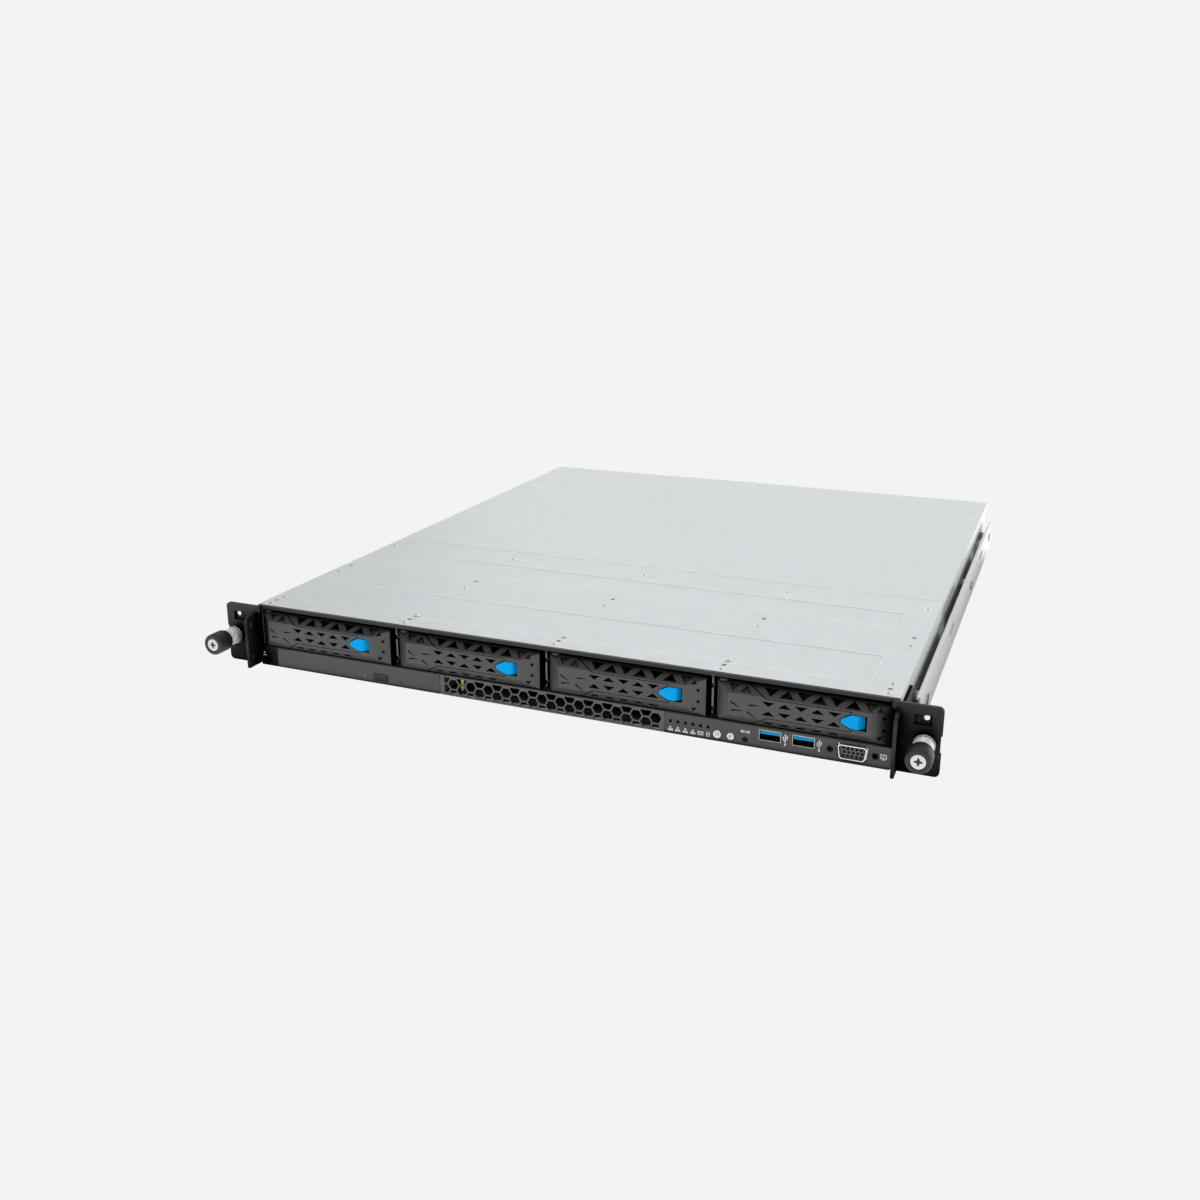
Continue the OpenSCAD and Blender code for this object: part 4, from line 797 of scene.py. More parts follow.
@dataclass
class Printer:
    """Prints glyphs as thin raised ink on an upright face; strokes are parts of a glyph's size."""

    piece: Piece
    face: float
    size: float = 1.0
    line: float = 0.13
    ink: float = 0.06
    gap: float = 0.002

    def aim(self, x: float, z: float, size: float) -> None:
        """Chooses where the next strokes go and how large they are."""
        self.piece.at(x, self.face, z)
        self.size = size

    def shape(self, outline: Sequence[Point]) -> None:
        """Prints one filled outline."""
        scaled = [(self.size * u, self.size * v) for u, v in outline]
        self.piece.prism(scaled, Axis.Y, -self.ink, -self.gap)

    def bar(self, x: float, z: float, width: float, height: float, turn: float = 0.0) -> None:
        """Prints a bar about its middle, turned in its plane."""
        c, s = math.cos(turn), math.sin(turn)
        corners = ((-width, -height), (width, -height), (width, height), (-width, height))
        self.shape([(x + (u * c - v * s) / 2, z + (u * s + v * c) / 2) for u, v in corners])

    def loop(self, x: float, z: float, radius: float, line: float, start: float = 0.0,
             end: float = 360.0, flat: float = 1.0) -> None:
        """Prints part of a ring as short bars.

        Args:
            x: Middle of the ring.
            z: Middle of the ring.
            radius: Radius of the line.
            line: Width of the line.
            start: First angle in degrees.
            end: Last angle in degrees.
            flat: Height of the ring over its width.
        """
        steps = max(6, int((end - start) / 20))
        r0, r1 = radius - line / 2, radius + line / 2
        for k in range(steps):
            a, b = (math.radians(start + (end - start) * n / steps) for n in (k, k + 1))
            self.shape([(x + r * math.cos(t), z + flat * r * math.sin(t))
                        for r, t in ((r0, a), (r1, a), (r1, b), (r0, b))])

    def frame(self, x: float, z: float, width: float, height: float) -> None:
        """Prints the outline of a rectangle."""
        line = self.line
        for side in (-1, 1):
            self.bar(x, z + side * (height - line) / 2, width, line)
            self.bar(x + side * (width - line) / 2, z, line, height - 2 * line)

    def glyph(self, kind: Glyph, x: float, z: float, size: float) -> None:
        """Prints one glyph about a place on the face, with a given height."""
        self.aim(x, z, size)
        line = self.line
        if kind is Glyph.NETWORK:
            self.bar(0, 0.32, 0.36, 0.3)
            self.bar(0, 0.05, line, 0.3)
            self.bar(0, -0.08, 0.9, line)
            for side in (-1, 0, 1):
                self.bar(side * 0.4, -0.34, 0.28, 0.3)
        elif kind is Glyph.MESSAGE:
            self.frame(0, 0, 1.2, 0.8)
            self.bar(-0.27, 0.1, 0.62, line, -0.6)
            self.bar(0.27, 0.1, 0.62, line, 0.6)
        elif kind is Glyph.DRIVE:
            self.loop(0, 0.34, 0.3, line, flat=0.5)
            self.loop(0, -0.3, 0.3, line, 180, 360, 0.5)
            for side in (-1, 1):
                self.bar(side * 0.3, 0, line, 0.66)
            self.bar(0, -0.02, 0.2, 0.16)
        elif kind is Glyph.POWER:
            self.loop(0, 0, 0.36, line, 120, 420)
            self.bar(0, 0.3, line, 0.42)
        elif kind is Glyph.LOCATE:
            self.loop(0, 0, 0.36, line, 20, 300)
            self.bar(0, 0, 0.24, 0.24, 0.78)
        elif kind is Glyph.RESET:
            for side in (-1, 1):
                self.shape([(side * 0.9, 0.36), (side * 0.9, -0.36), (side * 0.3, 0)])
                self.bar(side * 0.3, 0, 0.1, 0.7)
            self.bar(0, 0, 0.22, 0.22, 0.78)
        elif kind is Glyph.FORK:
            self.bar(0, 0, line, 1.5)
            self.loop(0, -0.78, 0.08, 0.16)
            self.shape([(-0.16, 0.7), (0.16, 0.7), (0, 1)])
            self.bar(-0.14, -0.12, 0.4, line, -0.7)
            self.bar(-0.28, 0.18, line, 0.36)
            self.loop(-0.28, 0.4, 0.06, 0.12)
            self.bar(0.14, 0.04, 0.4, line, 0.7)
            self.bar(0.28, 0.3, line, 0.3)
            self.bar(0.28, 0.52, 0.22, 0.22)
        elif kind is Glyph.SCREEN:
            self.frame(0, 0.1, 1, 0.78)
            self.bar(0, 0.1, 0.3, 0.2)
            self.bar(0, -0.42, 0.5, 0.14)
        elif kind is Glyph.WARNING:
            self.shape([(-0.5, -0.4), (0.5, -0.4), (0, 0.5)])


# Columns and rows of a display socket's 15 holes, counted from its middle.
HOLES: tuple[tuple[int, int], ...] = tuple((i, j) for j in (-1, 0, 1) for i in range(-2, 3))


@dataclass
class PortPanel(Assembly):
    """Lamps, buttons and sockets on the right of the lower row."""

    wears = ((Coat.FASCIA, "port_panel"), (Coat.BOARD, "port_board"), (Coat.SHELL, "usb_sockets"),
             (Coat.STEEL, "display_socket"), (Coat.INSERT, "display_insert"),
             (Coat.CAP_WHITE, "power_button", "id_button"), (Coat.SMOKED, "reset_button"))
    lamp_start: float = 4.0
    lamp_pitch: float = 4.74
    lamp_height: float = 8.1
    lamp_radius: float = 0.98
    socket_starts: tuple[float, float] = (58.4, 78.2)
    socket_width: float = 13.3

    def fit(self) -> None:
        """Adds the panel's lenses, print, contacts and nuts."""
        panel = Box.of("port_panel").low
        self.lenses(panel)
        self.print_panel(panel)
        self.print_buttons()
        self.sockets(panel)
        self.display(panel)

    def lamp(self, k: int, panel: Vector) -> float:
        """Place of a lamp in X."""
        return panel.x + self.lamp_start + k * self.lamp_pitch

    def lenses(self, panel: Vector) -> None:
        """Puts a smoked lens in front of each light pipe."""
        piece = self.piece("lamp_lenses", Coat.SMOKED)
        r = self.lamp_radius
        for k in range(6):
            piece.at(self.lamp(k, panel), panel.y, self.lamp_height)
            piece.turned(((0, 0.5), (0.6 * r, 0.58), (r, 0.8), (r, 1.26), (0, 1.26)), Axis.Y, 20)
        piece.done(smooth=True)

    def print_panel(self, panel: Vector) -> None:
        """Prints the pictures under the lamps and beside the sockets and the left vent."""
        piece = self.piece("panel_print", Coat.PRINT)
        ink = Printer(piece, panel.y)
        for k, kind in enumerate([Glyph.NETWORK] * 4 + [Glyph.MESSAGE, Glyph.DRIVE]):
            ink.glyph(kind, self.lamp(k, panel), 3.3, 3.0)
        ink.glyph(Glyph.RESET, Box.of("reset_button").centre.x, 9.0, 2.9)
        for start in self.socket_starts:
            ink.glyph(Glyph.FORK, panel.x + start + self.socket_width + 2.6, 7.8, 3.9)
        ink.glyph(Glyph.SCREEN, panel.x + 130.6, 7.2, 3.6)
        vent = Box.of("front_frame").low
        left = Printer(piece, vent.y)
        left.glyph(Glyph.WARNING, vent.x + 2.5, 9.2, 1.3)
        left.aim(vent.x + 2.6, 7.2, 1.0)
        for k in (-1, 0, 1):
            left.loop(k, 0, 0.36, 0.2)
        piece.done()

    def print_buttons(self) -> None:
        """Prints the picture on each push button, so that it moves with it."""
        for node, body, kind, dish in (("power_button", "power_key", Glyph.POWER, 0.3),
                                       ("id_button", "id_key", Glyph.LOCATE, 0.0)):
            cap = Box.of(node)
            piece = self.piece(f"{node}_print", Coat.INK_GREY, body)
            Printer(piece, cap.low.y + dish).glyph(kind, cap.centre.x, cap.centre.z, 2.4)
            piece.done()

    def sockets(self, panel: Vector) -> None:
        """Builds the blue tongue, contacts and spring leaves of each socket."""
        shells = Box.of("usb_sockets")
        tongue = self.piece("socket_tongues", Coat.TONGUE)
        contact = self.piece("socket_contacts", Coat.GOLD)
        rim = self.piece("socket_rims", Coat.CHIP)
        w = self.socket_width
        for start in self.socket_starts:
            for piece in (tongue, contact, rim):
                piece.at(panel.x + start, shells.low.y, shells.high.z)
            tongue.block((0.55, 0.9, -3.1), (w - 0.55, 16.0, -0.5), 0.3)
            for k in range(4):
                x = w * (0.2 + 0.2 * k)
                contact.block((x - 0.5, 2.0, -3.3), (x + 0.5, 9, -3.1), 0.08)
            for side in (0.28, 0.72):
                leaf = ((0.4, -6.35), (3, -5.9), (5, -5.7), (5, -5.9), (3, -6.1))
                contact.prism(leaf, Axis.X, w * side - 0.9, w * side + 0.9)
            rim.block((0.42, 9, -6.35), (w - 0.42, 16.2, -3.35), 0.1)
        for piece in (tongue, contact, rim):
            piece.done()

    def display(self, panel: Vector) -> None:
        """Adds the black nuts beside the display socket and the metal of its contacts."""
        middle = Box.of("display_socket").centre.x
        nuts = self.piece("display_nuts", Coat.POWDER)
        pins = self.piece("display_contacts", Coat.BRASS)
        for side in (-1, 1):
            nuts.at(middle + side * 12.8, panel.y, 7.0)
            nuts.turned(((1.0, 2.4), (1.0, -0.1), (1.3, -0.35), (1.75, -0.35), (1.88, -0.2),
                         (1.88, 0.38), (1.0, 0.38)), Axis.Y, 24)
        for i, j in HOLES:
            pins.at(middle + i * 2.5 + (0.0 if j else 0.6), panel.y, 7.0 + j * 2.3)
            pins.turned(((0.3, 2.0), (0.6, 2.0), (0.6, 2.3), (0.3, 2.3), (0.3, 2.0)), Axis.Y, 14)
        nuts.done(smooth=True)
        pins.done()


@dataclass
class IntakeRow(Assembly):
    """Perforated grille, what shows behind it, and the slim optical drive."""

    wears = ((Coat.GRILLE, "front_grille"), (Coat.FASCIA, "optical_bezel"),
             (Coat.MOULDED, "optical_button", "optical_tray"), (Coat.ZINC, "optical_case"))
    throat: float = 60.0
    floor: float = 1.1

    def fit(self) -> None:
        """Lines the intake behind the grille and fills the optical drive."""
        self.liner()
        self.optical_parts()

    def liner(self) -> None:
        """Builds the black air guide behind the grille, with a brass pillar at its left."""
        grille = Box.of("front_grille")
        wide, deep = grille.size.x - 3.0, self.throat - 1.4
        high = Box.of("drive_cage").low.z - 0.25 - self.floor
        guide = self.piece("intake_guide", Coat.MOULDED)
        guide.at(grille.low.x + 1.5, grille.high.y + 1.4, self.floor)
        guide.block((0, 0, 0), (wide, deep, 0.5), 0.1)
        guide.block((0, 0, high - 0.5), (wide, deep, high), 0.1)
        guide.block((0, deep - 1, 0), (wide, deep, high), 0.1)
        for k in range(1, 9):
            rib = k * wide / 9
            guide.block((rib - 0.4, 14, 0), (rib + 0.4, deep, high), 0.1)
        guide.done()
        pillar = self.piece("intake_pillar", Coat.BRASS)
        pillar.at(grille.low.x + 12.8, grille.high.y + 6.4, self.floor)
        pillar.turned(((0, 0.5), (1.6, 0.5), (1.9, 0.8), (1.9, high - 0.9), (1.6, high - 0.6),
                       (0, high - 0.6)), Axis.Z, 6)
        pillar.done()

    def optical_parts(self) -> None:
        """Adds the lamp, spindle, reader and reader's rods of the optical drive."""
        bezel, tray, body = Box.of("optical_bezel"), Box.of("optical_tray"), "disc_tray"
        lamp = self.piece("optical_lamp", Coat.LENS, body).at(bezel.low.x + 70.05, bezel.low.y, 4.4)
        lamp.turned(((0, 0.1), (0.5, 0.2), (0.62, 1.4), (0, 1.4)), Axis.Y, 14)
        lamp.done(smooth=True)
        x, y = bezel.centre.x, bezel.low.y + 64
        top, low = tray.high.z, tray.low.z + 0.3
        spindle = self.piece("disc_spindle", Coat.STEEL, body).at(x, y, top)
        spindle.turned(((7.2, -1.0), (7.0, -0.7), (4.2, -0.6), (4.0, -0.2), (0, -0.15)), Axis.Z, 40)
        for k in range(3):
            turn = math.radians(90 + 120 * k)
            spindle.at(x + 5.6 * math.cos(turn), y + 5.6 * math.sin(turn), top)
            spindle.turned(((0, -0.05), (0.6, -0.2), (0.7, -0.6), (0, -0.7)), Axis.Z, 12)
        spindle.done(smooth=True)
        head = self.piece("disc_reader", Coat.CHIP, body).at(x, y, low)
        head.block((-8, 22, 0), (8, 38, 2.2), 0.4)
        head.done()
        lens = self.piece("disc_reader_lens", Coat.SMOKED, body).at(x, y + 30, low)
        lens.turned(((2.6, 2.2), (2.4, 2.5), (1.4, 2.75), (0, 2.85)), Axis.Z, 24)
        lens.done(smooth=True)
        rods = self.piece("disc_reader_rods", Coat.STEEL, body)
        for side in (-1, 1):
            rods.at(x + side * 7, y, low + 0.9)
            rods.turned(((0, 14), (0.7, 14), (0.7, 45), (0, 45)), Axis.Y, 12)
        rods.done(smooth=True)


@dataclass
class SheetMetal(Assembly):
    """Chassis, covers, rails, ears and their fasteners."""

    wears = ((Coat.ZINC, "chassis_base", "front_top_cover", "rear_top_cover"),
             (Coat.SHADED_CAGE, "drive_cage"), (Coat.RAIL, "left_side_rail", "right_side_rail"),
             (Coat.STEEL, "rivets", "cover_screw"), (Coat.PLATED, "ear_sleeves", "left_spring_seat",
                                                     "right_spring_seat"),
             (Coat.POWDER, "left_ear", "right_ear", "front_frame"))
    crease: float = 0.3
    rivet_shares: tuple[float, ...] = (-0.971, -0.4789, 0.0184, 0.5155, 0.9641)
    rivet_rows: tuple[float, ...] = (4.5, 19.5, 86.5, 164.5)
    knurl_radius: float = 4.2

    def fit(self) -> None:
        """Adds corner blocks, creases and the small parts of the fasteners."""
        self.corner_blocks()
        self.creases()
        self.paint_rivet_hole_shades()
        self.cover_screw_knurl()

    def corner_blocks(self) -> None:
        """Closes the corner between each ear and the front frame with a black hinge block."""
        front = Box.of("front_frame")
        for side, node in ((-1, "left_ear"), (1, "right_ear")):
            ear = Box.of(node)
            inner, edge = (ear.low.x, front.high.x) if side > 0 else (ear.high.x, front.low.x)
            x0, x1 = sorted((edge - side * 1.0, inner + side * 2.4))
            top = ear.high.z - 0.1
            piece = self.piece(f"{node}_corner", Coat.POWDER).at(0, front.low.y, top)
            piece.block((x0, -0.4, -5.0), (x1, -0.02, 0), 0.15)
            piece.at(inner - side * 0.6, front.low.y - 0.9, top)
            piece.turned(((0, -4.6), (1.5, -4.4), (2.1, -3.2), (2.1, -1.2), (1.6, 0.1), (0, 0.35)),
                         Axis.Z, 16)
            piece.done(smooth=True)

    def creases(self) -> None:
        """Rolls ridged creases, in the brighter rail finish as a painted highlight, round the front
        cover's panels and along the rear cover's front edge.
        """
        cover, inset, corner = Box.of("front_top_cover"), 20, 4
        left, right = cover.low.x + inset + corner, cover.high.x - inset - corner
        # Painted highlight: the creases take the brighter rail finish so that they read as bright
        # lines on the zinc.
        piece = self.piece("cover_crease_highlights", Coat.RAIL).at(0, cover.low.y, cover.high.z - 0.14)
        for low, high in ((15.5, 63.5), (117.5, 149.5)):
            points = []
            for x, y, start in ((right, high - corner, 0), (left, high - corner, 90),
                                (left, low + corner, 180), (right, low + corner, 270)):
                for k in range(7):
                    turn = math.radians(start + 15 * k)
                    points.append((x + corner * math.cos(turn), y + corner * math.sin(turn), 0))
            piece.wire(points + points[:1], self.crease)
        piece.done(smooth=True)
        rear = Box.of("rear_top_cover")
        # Painted highlight: the hem takes the brighter rail finish as a bright line along the seam.
        hem = self.piece("rear_cover_hem_highlight", Coat.RAIL, "rear_cover")
        hem.at(0, rear.low.y + 0.3, rear.high.z - 0.16)
        hem.wire([(x, 0, 0) for x in (rear.low.x + 0.4, 0.0, rear.high.x - 0.4)], self.crease)
        hem.done(smooth=True)

    def paint_rivet_hole_shades(self) -> None:
        """Adds a black disc at the centre of each blind rivet, painted shade in the place of its
        drilled hole.
        """
        # Painted shade: black discs instead of the rivets' open centres.
        pins = self.piece("rivet_hole_shades", Coat.CHIP)
        cover, top = Box.of("front_top_cover"), Box.of("rivets").high.z
        for share in self.rivet_shares:
            for y in self.rivet_rows:
                pins.at(share * cover.high.x, cover.low.y + y, top)
                pins.turned(((0.75, -0.06), (0.7, 0), (0, -0.02)), Axis.Z, 12)
        pins.done()

    def cover_screw_knurl(self) -> None:
        """Adds a knurled band to the rear cover's thumbscrew, and a thin black cross in it as
        painted shade of its slot.
        """
        box = Box.of("cover_screw")
        x, y, z, reach = box.centre.x, box.high.y, box.centre.z, self.knurl_radius
        band = self.piece("cover_screw_knurl", Coat.STEEL, "rear_cover")
        for turn in turns(24):
            band.at(x + reach * math.cos(turn), y, z + reach * math.sin(turn))
            band.turned(((0, -4.8), (0.28, -4.6), (0.28, -1.0), (0, -0.8)), Axis.Y, 6)
        band.done()
        # Painted shade: thin black bars stand in for the shadow in the screw's cross slot.
        cross = self.piece("cover_screw_slot_shade", Coat.CHIP, "rear_cover").at(x, y, z)
        for wide, high in ((2.0, 0.35), (0.35, 2.0)):
            cross.block((-wide, -1.42, -high), (wide, -1.38, high))
        cross.done()


@dataclass
class CaptiveScrew(Assembly):
    """Knurled knob with its silver cross-slotted core and coil spring."""

    side: str = "left"
    ridges: int = 40
    ridge: float = 0.22
    core: float = 4.3
    skirt: float = 12.4
    cavity: float = 3.5
    coils: int = 6
    coil_steps: int = 16
    coil_radius: float = 2.42

    def fit(self) -> None:
        """Replaces the plain knob by a knurled one, and adds the core, spring and rings."""
        node = f"{self.side}_thumbscrew"
        knob, sleeve = Box.of(node), Box.of("ear_sleeves")
        self.knob(node, knob)
        self.face(knob)
        self.spring(knob.centre, sleeve)
        self.threads(knob.centre, sleeve)

    def knob(self, node: str, box: Box) -> None:
        """Builds the knurled barrel and the shank in the place of a frame node."""
        piece = self.piece(f"{self.side}_knob", Coat.KNOB, f"{self.side}_screw")
        piece.at(box.centre.x, box.low.y, box.centre.z)
        core, skirt, cavity = self.core, self.skirt, self.cavity
        wide, back = box.size.z / 2, box.size.y
        plain = 0.0
        profile = ((core + 0.1, 0.5, plain), (core + 0.15, 0.15, plain), (core + 0.5, 0, plain),
                   (wide - 1.0, 0, plain), (wide - 0.45, 0.25, plain), (wide - 0.3, 0.8, plain),
                   (wide, 1.1, self.ridge), (wide, skirt - 1.5, self.ridge),
                   (wide - 0.3, skirt - 1.2, plain), (wide - 0.5, skirt, plain),
                   (5.98, skirt, plain), (5.95, cavity, plain), (1.9, cavity, plain),
                   (1.9, back - 1.1, plain), (1.1, back, plain), (0, back, plain))
        piece.skin([piece.ring(Axis.Y, radius, y, self.ridges * 4, self.ridges, deep)
                    for radius, y, deep in profile])
        piece.done(replaces=(node,), smooth=True)

    def face(self, box: Box) -> None:
        """Builds the silver core with a tapered cross recess, and a thin black plate in it as
        painted shade.
        """
        spot = (box.centre.x, box.low.y + 0.2, box.centre.z)
        piece = self.piece(f"{self.side}_screw_core", Coat.CORE, f"{self.side}_screw").at(*spot)
        a, b, tip = 2.4, 0.8, 0.42
        cross = ((a, tip), (b, b), (tip, a), (-tip, a), (-b, b), (-a, tip), (-a, -tip), (-b, -b),
                 (-tip, -a), (tip, -a), (b, -b), (a, -tip))
        outer = piece.ring(Axis.Y, self.core * 0.96, 0, 48)
        lip = piece.ring(Axis.Y, self.core, 0.25, 48)
        inner = piece.loop(cross, Axis.Y, 0)
        deep = piece.loop([(0.35 * u, 0.35 * v) for u, v in cross], Axis.Y, 1.7)
        edges = [piece.mesh.edges.new((loop[k], loop[(k + 1) % len(loop)]))
                 for loop in (outer, inner) for k in range(len(loop))]
        bmesh.ops.triangle_fill(piece.mesh, use_beauty=True, use_dissolve=False, edges=edges)
        piece.skin((outer, lip))
        piece.skin((inner, deep))
        piece.mesh.faces.new(deep)
        piece.done()
        # Painted shade: a thin black cross plate inside the recess stands in for its shadow.
        shade = self.piece(f"{self.side}_screw_recess_shade", Coat.CHIP, f"{self.side}_screw").at(*spot)
        shade.prism([(0.8 * u, 0.8 * v) for u, v in cross], Axis.Y, 0.75, 0.8)
        shade.done()

    def spring(self, centre: Vector, sleeve: Box) -> None:
        """Winds the coil spring that lies in the sleeve's bore round the shank."""
        piece = self.piece(f"{self.side}_spring", Coat.STEEL).at(centre.x, sleeve.low.y + 0.6,
                                                                 centre.z)
        count, wide = self.coils * self.coil_steps, self.coil_radius
        rise = (sleeve.size.y - 7.1) / count
        path = []
        for k in range(count + 1):
            turn = 2 * math.pi * k / self.coil_steps
            path.append((wide * math.cos(turn), rise * k, wide * math.sin(turn)))
        piece.wire(path, 0.3, 6)
        piece.done(smooth=True)

    def threads(self, centre: Vector, sleeve: Box) -> None:
        """Turns fine rings round the outside of the sleeve."""
        piece = self.piece(f"{self.side}_sleeve_rings", Coat.PLATED).at(centre.x, sleeve.low.y,
                                                                        centre.z)
        profile = [(5.4, 2.0)]
        for k in range(8):
            y = 2.1 + 1.2 * k
            profile += [(5.5, y), (5.68, y + 0.25), (5.68, y + 0.55), (5.5, y + 0.8)]
        piece.turned(profile + [(5.5, 11.6), (5.4, 11.7)], Axis.Y, 64)
        piece.done(smooth=True)


@dataclass
class DriveBay(Assembly):
    """One drive tray with its lever, latch and drive."""

    number: int = 1

    def fit(self) -> None:
        """Dresses the bay and adds the drive's label, chips, pins and screws."""
        n = self.number
        self.palette.dress(Coat.MOULDED, (f"drive_tray_{n}", f"tray_lever_{n}"))
        self.palette.dress(Coat.AZURE, (f"tray_latch_{n}",))
        self.palette.dress(Coat.DRIVE, (f"hard_drive_{n}",))
        drive = Box.of(f"hard_drive_{n}")
        self.plate(drive)
        self.circuit(drive)
        self.screws(drive)

    def part(self, name: str, coat: Coat) -> Piece:
        """Starts a mesh that rides on this bay's tray."""
        return self.piece(f"{name}_{self.number}", coat, f"tray_{self.number}")

    def plate(self, drive: Box) -> None:
        """Lays a blank label, the hub's plate and six cover screws on the drive's top."""
        x, y, top = drive.low.x, drive.low.y, drive.high.z
        label = self.part("drive_label", Coat.LABEL).at(x, y, top)
        label.block((16, 74, -0.42), (86, 118, -0.3), 0.04)
        label.done()
        hub = self.part("drive_hub", Coat.STEEL).at(x + 50.8, y + 52, top)
        hub.turned(((13.0, -0.02), (12.6, 0), (10.2, 0), (10.0, -0.3), (4.0, -0.32), (3.8, -0.1),
                    (0, -0.1)), Axis.Z, 48)
        for dx, dy in ((5, 7), (96.6, 7), (4, 72), (97.6, 72), (6, 134), (95.6, 134)):
            hub.at(x + dx, y + dy, top)
            hub.turned(((2.1, -0.45), (2.1, -0.12), (1.8, -0.02), (0.9, -0.02), (0.7, -0.4),
                        (0, -0.4)), Axis.Z, 20)
        hub.done(smooth=True)

    def circuit(self, drive: Box) -> None:
        """Puts the controller's chips and connector pins under and behind the drive."""
        chips = self.part("drive_chips", Coat.CHIP).at(*drive.low)
        for x, y, w, d in ((30, 60, 14, 14), (56, 66, 10, 12), (34, 92, 12, 8), (62, 98, 8, 8)):
            chips.block((x, y, -0.35), (x + w, y + d, 0.1), 0.1)
        chips.done()
        pins = self.part("drive_pins", Coat.GOLD).at(drive.low.x, drive.high.y, drive.low.z)
        for k in range(22):
            pins.block((14 + k * 2, -4, 4.2), (15 + k * 2, 0.05, 4.5))
        pins.done()

    def screws(self, drive: Box) -> None:
        """Sets two screws a side where the tray's rails hold the drive."""
        piece = self.part("drive_side_screws", Coat.STEEL)
        for x, out in ((drive.low.x, -1), (drive.high.x, 1)):
            for y in (28, 112):
                piece.at(x, drive.low.y + y, drive.low.z + 7)
                piece.turned([(radius, out * along) for radius,
                              along in ((1.45, -2), (1.45, 0.02), (0.8, 0.02), (0.6, -0.4),
                                        (0, -0.4))], Axis.X, 16)
        piece.done(smooth=True)


